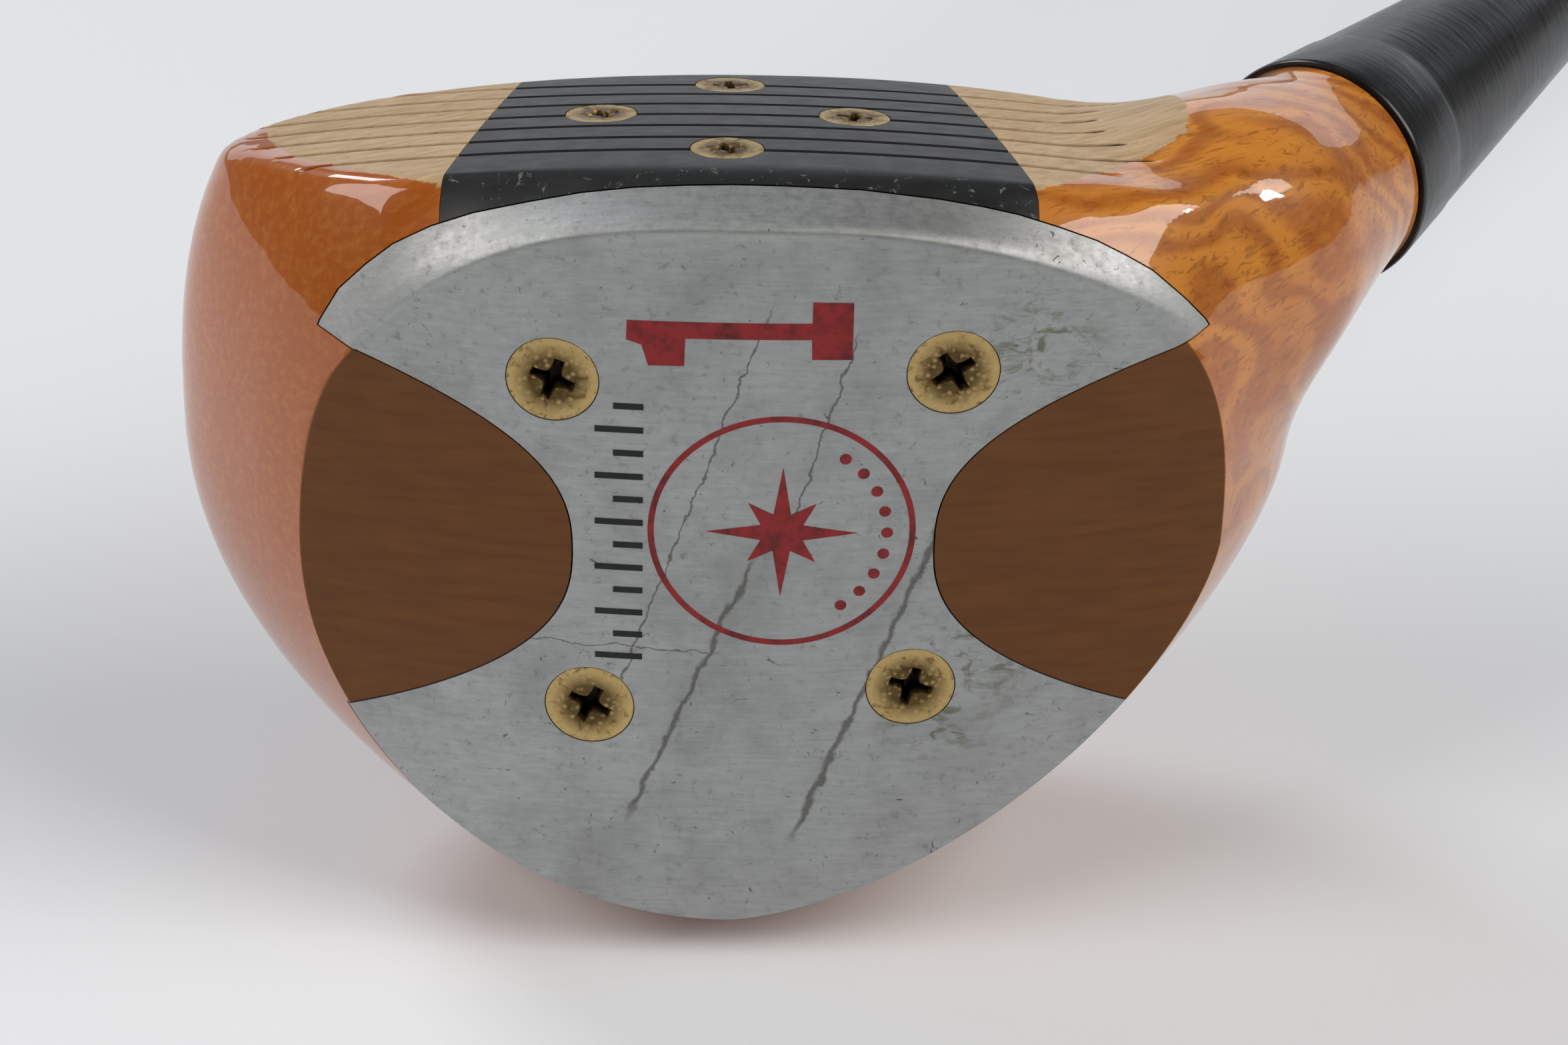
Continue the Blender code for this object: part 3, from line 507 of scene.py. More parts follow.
HALF_WIDTH, BACK_END, FRONT_END = 0.055, -0.06, 0.05
ROLLER_SEGMENTS, ROLLER_BACK, ROD_SEGMENTS = 720, -0.08, 96
# The tools end well past the wood, each a step further than the last, so that no two end in one plane.
TOOL_LOW, TOOL_HIGH, TOOL_STEP = -0.010, 0.020, 0.001
from_sole = Matrix(((1, 0, 0, 0), (0, 0, 1, 0), (0, 1, 0, 0), (0, 0, 0, 1)))
leaning = Matrix(((1, 0, 0, 0), (0, 0, 1, 0), (0, 1, FRONT_LEAN, 0), (0, 0, 0, 1)))


def notch(side, waist, middle, depth, rise, power):
    """One waist of the plate, x = waist + side * depth * |z / rise|^power, from front to back."""
    far = rise * ((HALF_WIDTH - abs(waist)) / depth) ** (1 / power)
    z = np.linspace(far, -far, NOTCH_POINTS)
    return np.stack([waist + side * depth * np.abs(z / rise) ** power, middle + z], 1)


def roller(radius, front):
    """A cylinder on the sole's centre of curvature, which parts what lies above the plate from the plate."""
    turn = np.linspace(0, 2 * pi, ROLLER_SEGMENTS, endpoint=False)
    ring = np.stack([radius * np.cos(turn), SOLE_CAMBER + radius * np.sin(turn), 0 * turn], 1)
    return grid_mesh("tool", np.stack([ring + (0, 0, ROLLER_BACK), ring + (0, 0, front)]), head_frame)


def plate_plan():
    """The plate's own edge round the sides and back, as a radius for each angle: the head's edge on the sole,
    found outwards from the middle by halving. It is left clear of the front edge."""
    turn = np.linspace(0, 2 * pi, OUTLINE_POINTS, endpoint=False)
    way = np.stack([np.cos(turn), 0 * turn, np.sin(turn)], 1)
    near, far = np.full(OUTLINE_POINTS, 0.02), np.full(OUTLINE_POINTS, 0.055)
    for _ in range(30):
        middle = (near + far) / 2
        at = way * middle[:, None]
        at[:, 1] = sole_height(at[:, 0])
        beyond = upper_level(at) > 0
        near, far = np.where(beyond, near, middle), np.where(beyond, middle, far)
    low, high, clear_radius = CLEAR_OF_FRONT
    radius = np.where((turn > low) & (turn < high), clear_radius, near + PLATE_PROUD)
    return way[:, [0, 2]] * radius[:, None]


def rod(at, way, radius, low, high):
    """A round bar through a point of the head along a direction, between two distances along it."""
    turn = np.linspace(0, 2 * pi, ROD_SEGMENTS, endpoint=False)[:, None]
    side = np.cross(way, (0.3, 0.5, 0.8))
    side /= np.linalg.norm(side)
    ring = at + radius * (np.cos(turn) * side + np.sin(turn) * np.cross(way, side))
    return grid_mesh("tool", np.stack([ring + low * way, ring + high * way]), head_frame)


hourglass = np.concatenate([notch(-1, **TOE_NOTCH), [(-HALF_WIDTH, BACK_END), (HALF_WIDTH, BACK_END)],
                            notch(1, **HEEL_NOTCH)[::-1],
                            [(HALF_WIDTH, FRONT_END), (-HALF_WIDTH, FRONT_END)]])
plan = plate_plan()
plate = stand("plate", grid_mesh("plate", np.concatenate([plain_grid, spigot_rings]), head_frame,
                                 np.concatenate([on_edge, no_edge]), toe_pole))
carve(plate, ("INTERSECT", prism(hourglass, TOOL_LOW, FLANGE_TOP, from_sole)),
      ("INTERSECT", prism(plan, TOOL_LOW - TOOL_STEP, TOOL_HIGH + TOOL_STEP, from_sole)),
      ("INTERSECT", prism(FRONT_EDGE, TOOL_LOW - 2 * TOOL_STEP, TOOL_HIGH + 2 * TOOL_STEP, leaning)),
      ("DIFFERENCE", roller(SOLE_CAMBER - PLATE_THICKNESS, FLANGE_Z)))

pocket_low = TOOL_LOW - TOOL_STEP / 2
pocket = stand("pocket", prism(offset(hourglass, PLATE_GAP), pocket_low, FLANGE_TOP + PLATE_GAP, from_sole))
carve(pocket, ("INTERSECT", prism(offset(plan, PLATE_GAP), pocket_low - TOOL_STEP,
                                  TOOL_HIGH + 2 * TOOL_STEP, from_sole)),
      ("INTERSECT", prism(offset(FRONT_EDGE, PLATE_GAP), pocket_low - 2 * TOOL_STEP,
                          TOOL_HIGH + 3 * TOOL_STEP, leaning)),
      ("DIFFERENCE", roller(SOLE_CAMBER - PLATE_THICKNESS - PLATE_GAP, FLANGE_Z - PLATE_GAP)))

# Face insert: a keystone block of black phenolic board, glued into a recess and held by four brass screws.
# The saw lines of the face run across it.
INSERT_BACK, INSERT_TOOL_FRONT, RECESS_TOOL_FRONT = 0.0200, 0.050, 0.051
KEYSTONE = np.array([(-0.0294, -0.010), (0.0211, -0.010), (0.0211, 0.0060), (0.0138, 0.0500),
                     (-0.0220, 0.0500), (-0.0294, 0.0060)])
insert = stand("insert", head_block.data.copy())
straight_on = Matrix.Identity(4)
carve(insert, ("INTERSECT", prism(KEYSTONE, INSERT_BACK, INSERT_TOOL_FRONT, straight_on)),
      ("DIFFERENCE", pocket.data.copy()))
carve(head_block, ("DIFFERENCE", pocket.data.copy()),
      ("DIFFERENCE", prism(offset(KEYSTONE, INSERT_GAP), INSERT_BACK - INSERT_GAP, RECESS_TOOL_FRONT,
                            straight_on)))
bpy.data.objects.remove(pocket)

# Screws: turned brass wood screws with countersunk heads and cross recesses, driven flush. The four of the
# sole are larger than the four of the insert, and each stopped at its own angle.
# where: (x, z or y, angle of the cross)
SOLE_SCREWS = {"front_toe": (-0.0199, 0.0142, -0.35), "front_heel": (0.0143, 0.0157, 0.55),
               "back_toe": (-0.0168, -0.0191, -0.45), "back_heel": (0.0119, -0.0165, -0.30)}
INSERT_SCREWS = {"crown": (-0.0048, 0.0361, 0.1), "sole": (-0.0052, 0.0136, 0.35),
                 "toe": (-0.0163, 0.0250, 0.2), "heel": (0.0062, 0.0250, 0.0)}
SOLE_SCREW, INSERT_SCREW = (0.0040, 0.022), (0.00317, 0.016)
HOLE_GAP, HEAD_SUNK = 0.00006, 0.00003
SOLE_HOLE, INSERT_HOLE, SCREW_SHARP = (-0.005, 0.005), (-0.003, 0.005), radians(35)
# The cross recess and the shank, as shares of the head's radius.
CROSS_ARM, CROSS_HALF, CROSS_SPREAD, CROSS_BELL, CROSS_DEPTH = 0.50, 0.115, 0.12, 0.17, 0.42
CROSS_SLOPE, SHANK, SCREW_SEGMENTS = 4, 0.44, 144


def screw_grid(radius, length):
    """Rings from the middle of the head out, down the countersink and along the shank to the point. Down
    to its flat floor the recess is four times as deep as the distance inside a cross, whose arms widen
    towards the middle by a bell curve."""
    turn = np.linspace(0, 2 * pi, SCREW_SEGMENTS, endpoint=False)[None]
    across = np.concatenate([np.linspace(0.03, 0.60, 38), np.linspace(0.64, 0.985, 8)])[:, None]
    u, v = np.abs(across * np.cos(turn)), np.abs(across * np.sin(turn))
    widened = [CROSS_HALF + CROSS_SPREAD * np.exp(-(way / CROSS_BELL) ** 2) for way in (u, v)]
    inside = np.maximum(np.minimum(CROSS_ARM - u, widened[0] - v), np.minimum(CROSS_ARM - v, widened[1] - u))
    depth = np.minimum(CROSS_DEPTH, np.maximum(inside, 0) * CROSS_SLOPE)
    head = np.stack([across * np.cos(turn), across * np.sin(turn), -depth], -1)
    tip = length / radius
    reach, below = np.array([(1.0, 0.02), (1.0, 0.07), (SHANK, 0.09 + 1 - SHANK), (SHANK, tip - 1.0),
                             (0.02, tip)]).T[:, :, None]
    rest = np.stack([reach * np.cos(turn), reach * np.sin(turn), 0 * turn - below], -1)
    return np.concatenate([head, rest]) * radius


def screw(name, at, way, angle, size, cad_node):
    """Stands one screw in the head, its head just under the surface, and marks how deep each point is
    sunk."""
    way = way / np.linalg.norm(way)
    turn = Vector(way).to_track_quat("Z", "Y").to_matrix().to_4x4() @ Matrix.Rotation(angle, 4, "Z")
    grid = screw_grid(*size)
    place = head_frame @ Matrix.Translation(at - way * HEAD_SUNK) @ turn
    made = stand(name, grid_mesh(name, grid, place, first=(0, 0, -CROSS_DEPTH * size[0])))
    sunk = np.append(grid[..., 2].ravel(), -CROSS_DEPTH * size[0])
    give_attribute(made.data, "sunk", -1000 * sunk)
    off = mesh_points(made.data) - np.array(place.translation)
    give_attribute(made.data, "across", np.linalg.norm(off, axis=1) / size[0])
    made.data.set_sharp_from_angle(angle=SCREW_SHARP)
    made.data.materials.append(worn_brass)
    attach(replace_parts(made, cad_node), "root")


def mesh_points(mesh):
    """A mesh's own points, read out as an array."""
    points = np.empty(len(mesh.vertices) * 3, np.float32)
    mesh.vertices.foreach_get("co", points)
    return points.reshape(-1, 3).astype(float)


def give_attribute(mesh, name, values):
    mesh.attributes.new(name, "FLOAT", "POINT").data.foreach_set("value", np.asarray(values, np.float32))


# Stain line of the clear face wood, as (x, y) in millimetres seen from in front, anticlockwise.
CLEAR_WOOD = np.array([(-47.6, 60), (-47.1, 30.4), (-45.7, 23.7), (-43.9, 18.9), (-41.7, 15.5),
                       (-39.1, 13.4), (-36.0, 10.1), (-32.8, 8.0), (-30.3, 7.1), (-26.0, 6.0), (0, 5.0),
                       (18.0, 5.8), (21.3, 7.4), (22.6, 8.25), (27.4, 13.9), (32.0, 18.1), (35.3, 21.6),
                       (36.0, 27.0), (35.6, 34.0), (34.8, 42.0), (33.0, 60)])
CLEAR_DEPTH = 4


def inside_distance(points, outline):
    """Distance from each point to a closed outline, positive inside: the least distance to any of its
    sides, with the sign from counting the sides crossed on the way up."""
    a, b = outline[None], np.roll(outline, -1, 0)[None]
    to_point, side = points[:, None] - a, b - a
    share = np.clip((to_point * side).sum(-1) / (side * side).sum(-1), 0, 1)
    least = np.linalg.norm(to_point - share[..., None] * side, axis=-1).min(1)
    spans = (a[..., 0] > points[:, None, 0]) != (b[..., 0] > points[:, None, 0])
    run = np.where(side[..., 0] == 0, 1, side[..., 0])
    above = a[..., 1] + (points[:, None, 0] - a[..., 0]) * side[..., 1] / run
    inside = (spans & (above > points[:, None, 1])).sum(1) % 2 == 1
    return np.where(inside, least, -least)


into_head = head_frame.inverted()
wood_points = placed(mesh_points(head_block.data), into_head)
on_front = face_front(wood_points[:, 0], wood_points[:, 1]) - wood_points[:, 2]
clear = np.minimum(inside_distance(wood_points[:, :2] * 1000, CLEAR_WOOD), CLEAR_DEPTH - on_front * 1000)
give_attribute(head_block.data, "clear_wood", clear)
give_attribute(head_block.data, "saw", saw_share(wood_points))
give_attribute(head_block.data, "ear", 1000 * (sole_level(wood_points) - outer_level(wood_points)))


def in_frame(tree, place):
    """The position in a frame of the club, in millimetres."""
    back = place.inverted()
    return add(tree, "Mapping", {"Vector": add(tree, "TexCoord", out="Object"), "Rotation": back.to_euler(),
                                 "Location": back.translation * 1000, "Scale": (1000, 1000, 1000)})


def grain(tree, point, stretch, scale, detail=3.0, roughness=0.55, distortion=0.0):
    """Noise on a position squeezed along each axis. With scale 1 its cells are about a millimetre."""
    squeezed = add(tree, "Mapping", {"Vector": point, "Scale": stretch})
    return add(tree, "TexNoise", {"Vector": squeezed, "Scale": scale, "Detail": detail,
                                  "Roughness": roughness, "Distortion": distortion})


def layered(tree, under, *layers):
    """Colours laid one over another. A layer is (value, low, high, most, colour): its share grows from
    nothing to the most as its value goes from low to high."""
    for value, low, high, most, over in layers:
        share = add(tree, "MapRange", {0: value, 1: low, 2: high, 4: most})
        under, over = (srgb(paint) if isinstance(paint, str) else paint for paint in (under, over))
        under = add(tree, "Mix", {0: share, 6: under, 7: over}, 2, data_type="RGBA")
    return under


def largest(tree, values):
    """The greatest of several values."""
    greatest = values[0]
    for value in values[1:]:
        greatest = add(tree, "Math", {0: greatest, 1: value}, operation="MAXIMUM")
    return greatest


# Varnished hardwood: deep gloss over a warm honey stain, plain at the toe and with a wavy figure at the
# heel. The clear face is dry and pale and drawn darker in its saw lines, and the ears are flat brown under
# thin lacquer.
varnished_wood, tree = new_material("varnished_stained_hardwood")
point = in_frame(tree, head_frame)
grain_way = add(tree, "Mapping", {"Vector": point, "Rotation": (0.25, 0.35, -0.30)})
warp = add(tree, "Math", {0: grain(tree, point, (0.6, 1.0, 1.0), 0.06, 2.0), 1: 22.0}, operation="MULTIPLY")
bent = add(tree, "VectorMath", {0: grain_way, 1: warp}, operation="ADD")
squeezed = add(tree, "Mapping", {"Vector": bent, "Scale": (0.22, 1.0, 1.0)})
rings = add(tree, "TexWave", {"Vector": squeezed, "Scale": 0.10, "Distortion": 4.0, "Detail": 3.0,
                              "Detail Scale": 0.8, "Detail Roughness": 0.6}, "Fac",
            wave_type="BANDS", bands_direction="DIAGONAL")
fibre = grain(tree, grain_way, (0.08, 1.0, 1.0), 1.4, 4.0, 0.6)
fleck = grain(tree, grain_way, (0.30, 1.8, 1.8), 0.9, 3.0, 0.6, 1.0)
pores = grain(tree, grain_way, (0.18, 2.0, 2.0), 1.3, 2.0)
blotch = grain(tree, point, (1, 1, 1), 0.035, 2.0, 0.5)
line = grain(tree, point, (0.05, 0.6, 0.9), 1.3, 2.0)
to_heel = add(tree, "MapRange", {0: add(tree, "SeparateXYZ", {0: point}), 1: -20.0, 2: 32.0})
wavy = add(tree, "MapRange", {0: rings, 1: 0.15, 2: 0.9})
figure = add(tree, "Math", {0: wavy, 1: add(tree, "MapRange", {0: to_heel, 3: 0.12, 4: 0.75})},
             operation="MULTIPLY")
flecked = add(tree, "MapRange", {0: fleck, 1: 0.54, 2: 0.62})
flecks = add(tree, "Math", {0: flecked, 1: add(tree, "MapRange", {0: to_heel, 1: 0.2, 4: 0.55})},
             operation="MULTIPLY")
stain = layered(tree, "#A25105", (to_heel, 0, 1, 1, "#CA8028"), (figure, 0, 1, 1, "#9C500E"),
                (flecks, 0, 1, 1, "#7E3F0B"), (blotch, 0.40, 0.65, 0.45, "#A4500A"),
                (fibre, 0.45, 0.70, 0.18, "#D8A050"))
brown = layered(tree, "#6C421A", (line, 0.35, 0.65, 1, "#623A17"), (rings, 0.3, 0.9, 0.25, "#5E3A17"))
dry = layered(tree, "#C0A784", (fibre, 0.35, 0.65, 1, "#AA8F6A"), (pores, 0.62, 0.70, 0.5, "#86694A"))
ear, clear_wood, saw = (add(tree, "Attribute", out="Fac", attribute_name=name)
                        for name in ("ear", "clear_wood", "saw"))
ear_share = add(tree, "MapRange", {0: ear, 1: -0.05, 2: 0.10})
ragged = add(tree, "MapRange", {0: grain(tree, point, (1, 1, 1), 0.8), 1: 0.3, 2: 0.7, 3: -0.25, 4: 0.25})
ragged_edge = add(tree, "Math", {0: clear_wood, 1: ragged}, operation="ADD")
clear_share = add(tree, "MapRange", {0: ragged_edge, 1: -0.10, 2: 0.10})
in_saw = add(tree, "MapRange", {0: saw, 1: 0.15, 2: 0.55})
# The saw lines are drawn darker, a little patchy along the fibre.
saw_darkening = add(tree, "Math", {0: in_saw, 1: add(tree, "MapRange", {0: fibre, 1: 0.30, 2: 0.50, 3: 0.75})},
           operation="MULTIPLY")
colour = layered(tree, stain, (ear_share, 0, 1, 1, brown), (clear_share, 0, 1, 1, dry),
                 (saw_darkening, 0, 1, 1, "#2E2013"))
flat_share = largest(tree, [ear_share, clear_share])
relief = add(tree, "Bump", {"Height": fibre, "Strength": 0.08, "Distance": 0.0001})
ripple = add(tree, "Bump", {"Height": grain(tree, point, (1, 1, 1), 0.16, 2.0), "Strength": 0.12,
                            "Distance": 0.0006})
rough, gloss = (add(tree, "MapRange", {0: flat_share, 3: glossy, 4: flat})
                for glossy, flat in ((0.35, 0.55), (1.0, 0.10)))
surface(tree, {"Base Color": colour, "Roughness": rough, "Specular IOR Level": 0.2, "Normal": relief,
               "Coat Weight": gloss, "Coat Roughness": 0.03, "Coat IOR": 1.55, "Coat Normal": ripple})
head_block.data.materials.clear()
head_block.data.materials.append(varnished_wood)
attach(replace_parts(head_block, "head_block"), "root")

# Ground aluminium: a soft grey metal with fine grinding marks heel to toe. It carries two long scratches,
# short nicks, dull blotches, and green grass stains beside the heel screws.
# (x, z, angle, half the length, half the width) of each scratch and (x, z, reach) of each stain, in
# millimetres
SCRATCHES = ((8.2, -15.2, -1.22, 20.0, 0.30), (-7.8, -17.0, -1.20, 16.0, 0.24),
             (-8.0, 2.0, -1.25, 22.0, 0.10), (-14.0, -12.6, 0.02, 9.0, 0.06), (3.0, 8.5, -1.30, 12.0, 0.12))
GRASS_STAINS = ((21.5, 17.5, 7.0), (18.5, -13.0, 7.5), (14.0, -20.5, 6.0))
ground_aluminium, tree = new_material("ground_cast_aluminium")
point = in_frame(tree, head_frame)
brushing = grain(tree, point, (0.10, 1.0, 1.0), 2.6, 4.0, 0.65)
cast_grain = grain(tree, point, (1, 1, 1), 1.1, 4.0, 0.65)
tarnish = grain(tree, point, (1, 1, 1), 0.09, 4.0, 0.65)
nicks = add(tree, "MapRange", {0: grain(tree, point, (1, 1, 1), 0.55, 4.0, 0.75, 2.5), 1: 0.655, 2: 0.69})
wander = add(tree, "MapRange", {0: grain(tree, point, (1, 1, 1), 0.5), 1: 0.3, 2: 0.7, 3: -0.35, 4: 0.35})
cuts = []
for x, z, angle, half_length, half_width in SCRATCHES:
    # The scratch lies along the first axis of a turned copy of the position.
    turned = add(tree, "Mapping", {"Vector": point, "Location": (x, 0, z), "Rotation": (0, angle, 0)},
                 vector_type="TEXTURE")
    run, off = (add(tree, "SeparateXYZ", {0: turned}, axis) for axis in ("X", "Z"))
    off = add(tree, "Math", {0: off, 1: wander}, operation="ADD")
    run, off = (add(tree, "Math", {0: distance}, operation="ABSOLUTE") for distance in (run, off))
    across = add(tree, "MapRange", {0: off, 1: 0.4 * half_width, 2: 1.4 * half_width, 3: 1.0, 4: 0.0})
    along = add(tree, "MapRange", {0: run, 1: 0.85 * half_length, 2: half_length, 3: 1.0, 4: 0.0})
    cuts.append(add(tree, "Math", {0: across, 1: along}, operation="MULTIPLY"))
groove = largest(tree, cuts)
spots = []
for x, z, reach in GRASS_STAINS:
    away = add(tree, "VectorMath", {0: point, 1: (x, 1.0, z)}, "Value", operation="DISTANCE")
    spots.append(add(tree, "MapRange", {0: away, 1: 0.3 * reach, 2: reach, 3: 1.0, 4: 0.0}))
streak = grain(tree, point, (0.6, 1, 1.2), 0.55, 4.0, 0.7, 0.8)
streaks = add(tree, "MapRange", {0: streak, 1: 0.50, 2: 0.62, 4: 0.65})
grass = add(tree, "Math", {0: largest(tree, spots), 1: streaks}, operation="MULTIPLY")
metal = layered(tree, "#A4A6A6", (brushing, 0.3, 0.7, 1, "#B4B6B6"), (tarnish, 0.45, 0.72, 0.55, "#858784"),
                (cast_grain, 0.60, 0.75, 0.5, "#6C6E6D"), (nicks, 0, 1, 0.8, "#4A4A46"),
                (groove, 0, 1, 0.75, "#5B5850"), (grass, 0, 1, 1, "#5E6238"))
height = 0.0
for pattern, rise in ((brushing, 0.20), (cast_grain, 0.35), (groove, -1.0), (nicks, -0.6)):
    height = add(tree, "Math", {0: pattern, 1: rise, 2: height}, operation="MULTIPLY_ADD")
relief = add(tree, "Bump", {"Height": height, "Strength": 0.35, "Distance": 0.0002})
rough = add(tree, "MapRange", {0: cast_grain, 1: 0.3, 2: 0.7, 3: 0.48, 4: 0.62})
surface(tree, {"Base Color": metal, "Metallic": 0.9, "Roughness": rough, "Normal": relief})
plate.data.materials.clear()
plate.data.materials.append(ground_aluminium)
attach(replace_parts(plate, "sole_plate"), "root")

# Black phenolic board: satin, close to black, with grey chips along the bevel at its foot.
black_phenolic, tree = new_material("black_phenolic_board")
point = in_frame(tree, head_frame)
saw = add(tree, "Attribute", out="Fac", attribute_name="saw")
bloom = grain(tree, point, (0.5, 1, 1), 0.8)
up = add(tree, "SeparateXYZ", {0: point}, "Y")
low_down = add(tree, "MapRange", {0: up, 1: 6.6, 2: 9.0, 3: 1.0, 4: 0.0})
chip = add(tree, "MapRange", {0: grain(tree, point, (1, 1, 1), 0.8, 5.0, 0.75, 0.6), 1: 0.60, 2: 0.66})
chips = add(tree, "Math", {0: chip, 1: low_down}, operation="MULTIPLY")
# The saw lines are drawn darker, down to near black.
black = layered(tree, "#1A1B1C", (bloom, 0, 1, 1, "#232425"), (chips, 0, 1, 0.55, "#8C8C88"),
                (saw, 0.15, 0.60, 1, "#060606"))
height = 0.0
for pattern, rise in ((bloom, 0.2), (chips, -1.0)):
    height = add(tree, "Math", {0: pattern, 1: rise, 2: height}, operation="MULTIPLY_ADD")
relief = add(tree, "Bump", {"Height": height, "Strength": 0.4, "Distance": 0.0002})
surface(tree, {"Base Color": black, "Specular IOR Level": 0.4, "Normal": relief,
               "Roughness": add(tree, "MapRange", {0: bloom, 1: 0.3, 2: 0.7, 3: 0.34, 4: 0.44})})
give_attribute(insert.data, "saw", saw_share(placed(mesh_points(insert.data), into_head)))
insert.data.materials.clear()
insert.data.materials.append(black_phenolic)
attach(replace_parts(insert, "face_insert"), "root")

# Worn brass: yellow metal dulled by weather, with brown blots of old polish and dirt round and in the recess,
# and painted shade in the recess that darkens the deeper it is sunk.
worn_brass, tree = new_material("weathered_turned_brass")
point = add(tree, "Mapping", {"Vector": add(tree, "TexCoord", out="Object"), "Scale": (1000, 1000, 1000)})
sunk, across = (add(tree, "Attribute", out="Fac", attribute_name=name) for name in ("sunk", "across"))
blot = grain(tree, point, (1, 1, 1), 0.9, 3.0, 0.6, 0.8)
fine = grain(tree, point, (1, 1, 1), 3.5, 3.0, 0.6)
cell = add(tree, "TexVoronoi", {"Vector": point, "Scale": 1.6})
patchy = add(tree, "MapRange", {0: cell, 1: 0.10, 2: 0.45, 3: 0.25, 4: 0.9})
grime = add(tree, "Math", {0: add(tree, "MapRange", {0: across, 1: 0.88, 2: 0.50}), 1: patchy},
            operation="MULTIPLY")
# The last layer is painted shade: the recess is drawn darker the deeper each point is sunk.
brass = layered(tree, "#C9AF78", (fine, 0, 1, 1, "#B79A62"), (blot, 0.55, 0.66, 0.65, "#6B5230"),
                (grime, 0, 1, 1, "#4A3718"), (sunk, 0.10, 0.9, 1, "#1E150C"))
relief = add(tree, "Bump", {"Height": fine, "Strength": 0.3, "Distance": 0.0001})
surface(tree, {"Base Color": brass, "Metallic": 0.85, "Normal": relief,
               "Roughness": add(tree, "MapRange", {0: blot, 1: 0.4, 2: 0.65, 3: 0.36, 4: 0.60})})

tools = []
for where, (x, z, angle) in SOLE_SCREWS.items():
    at, way = np.array((x, sole_height(x), z)), np.array((x / SOLE_CAMBER, -1, 0))
    screw("screw_sole_" + where, at, way, angle, SOLE_SCREW, "sole_screw_" + where)
    tools.append(("DIFFERENCE", rod(at, way / np.linalg.norm(way), SOLE_SCREW[0] + HOLE_GAP, *SOLE_HOLE)))
carve(plate, *tools)
tools = []
for where, (x, y, angle) in INSERT_SCREWS.items():
    at = np.array((x, y, face_front(x, y)))
    way = np.array(((x - FACE_MIDDLE_X) / FACE_BULGE, tan(LOFT) + (y - FACE_MIDDLE_Y) / FACE_ROLL, 1))
    screw("screw_insert_" + where, at, way, angle, INSERT_SCREW, "insert_screw_" + where)
    tools.append(("DIFFERENCE", rod(at, way / np.linalg.norm(way), INSERT_SCREW[0] + HOLE_GAP, *INSERT_HOLE)))
carve(insert, *tools)
for piece in (head_block, plate, insert):
    piece.data.shade_smooth()
    piece.data.set_sharp_from_angle(angle=HEAD_SHARP)

# Painted marks of the sole: a numeral, a ring round a plain eight-pointed star, a run of dots and a column of
# dashes, each stamped into the plate and filled with enamel.
MARK_PROUD, MARK_DEEP = 0.00003, 0.00030
NUMERAL = [(-13.55, 20.42), (2.13, 20.56), (2.13, 22.60), (5.58, 22.55), (5.62, 17.09), (2.18, 17.08),
           (2.13, 19.00), (-8.59, 18.87), (-8.67, 16.22), (-11.73, 16.14), (-12.3, 18.11), (-13.60, 18.56)]
RING_MIDDLE, RING_RADIUS, RING_HALF, RING_POINTS = (0.0, -0.2), 11.42, 0.27, 180
STAR_LONG, STAR_SHORT, STAR_INNER, STAR_POINTS = 6.6, 4.2, 2.0, 8
DOT_RADIUS, DOT_TRACK, DOT_SPREAD, DOTS, DOT_POINTS = 0.52, 9.2, 0.95, 9, 20
DASH_TOE, DASH_HEEL, DASH_TOP, DASH_BOTTOM, DASHES, DASH_HALF = -16.3, -12.1, 12.0, -13.6, 12, 0.30
SHORT_DASH, STRIPS = 1.6, range(-17, 13)


def enamel_mark(name, outlines, enamel):
    """Flat outlines in millimetres, cut into strips so that they bend with the sole, and given a
    thickness."""
    shape = bmesh.new()
    for outline in outlines:
        shape.faces.new([shape.verts.new((x / 1000, 0, z / 1000)) for x, z in outline])
    for x in STRIPS:
        bmesh.ops.bisect_plane(shape, geom=shape.verts[:] + shape.edges[:] + shape.faces[:], dist=1e-7,
                               plane_co=(x / 1000, 0, 0), plane_no=(1, 0, 0))
    for corner in shape.verts:
        corner.co.y = sole_height(corner.co.x) + MARK_DEEP
    raised = bmesh.ops.extrude_face_region(shape, geom=shape.faces[:])
    for corner in raised["geom"]:
        if isinstance(corner, bmesh.types.BMVert):
            corner.co.y -= MARK_DEEP + MARK_PROUD
    bmesh.ops.recalc_face_normals(shape, faces=shape.faces)
    mesh = bpy.data.meshes.new(name)
    shape.to_mesh(mesh)
    shape.free()
    mesh.transform(head_frame)
    mesh.materials.append(enamel)
    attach(stand(name, mesh), "root")


def around(radius, turn, middle=RING_MIDDLE):
    return np.stack([middle[0] + radius * np.cos(turn), middle[1] + radius * np.sin(turn)], -1)


# Red and black enamel: brushed in and wiped off, so half glossy and uneven in depth.
enamels = []
for name, light_hex, dark_hex in (("red_enamel", "#8E2022", "#571415"),
                                  ("black_enamel", "#17181A", "#0E0F10")):
    enamel, tree = new_material(name)
    thin = grain(tree, in_frame(tree, head_frame), (1, 1, 1), 0.5, 4.0, 0.65)
    relief = add(tree, "Bump", {"Height": thin, "Strength": 0.4, "Distance": 0.0002})
    surface(tree, {"Base Color": layered(tree, light_hex, (thin, 0.45, 0.70, 1, dark_hex)), "Roughness": 0.32,
                   "Specular IOR Level": 0.3, "Normal": relief})
    enamels.append(enamel)

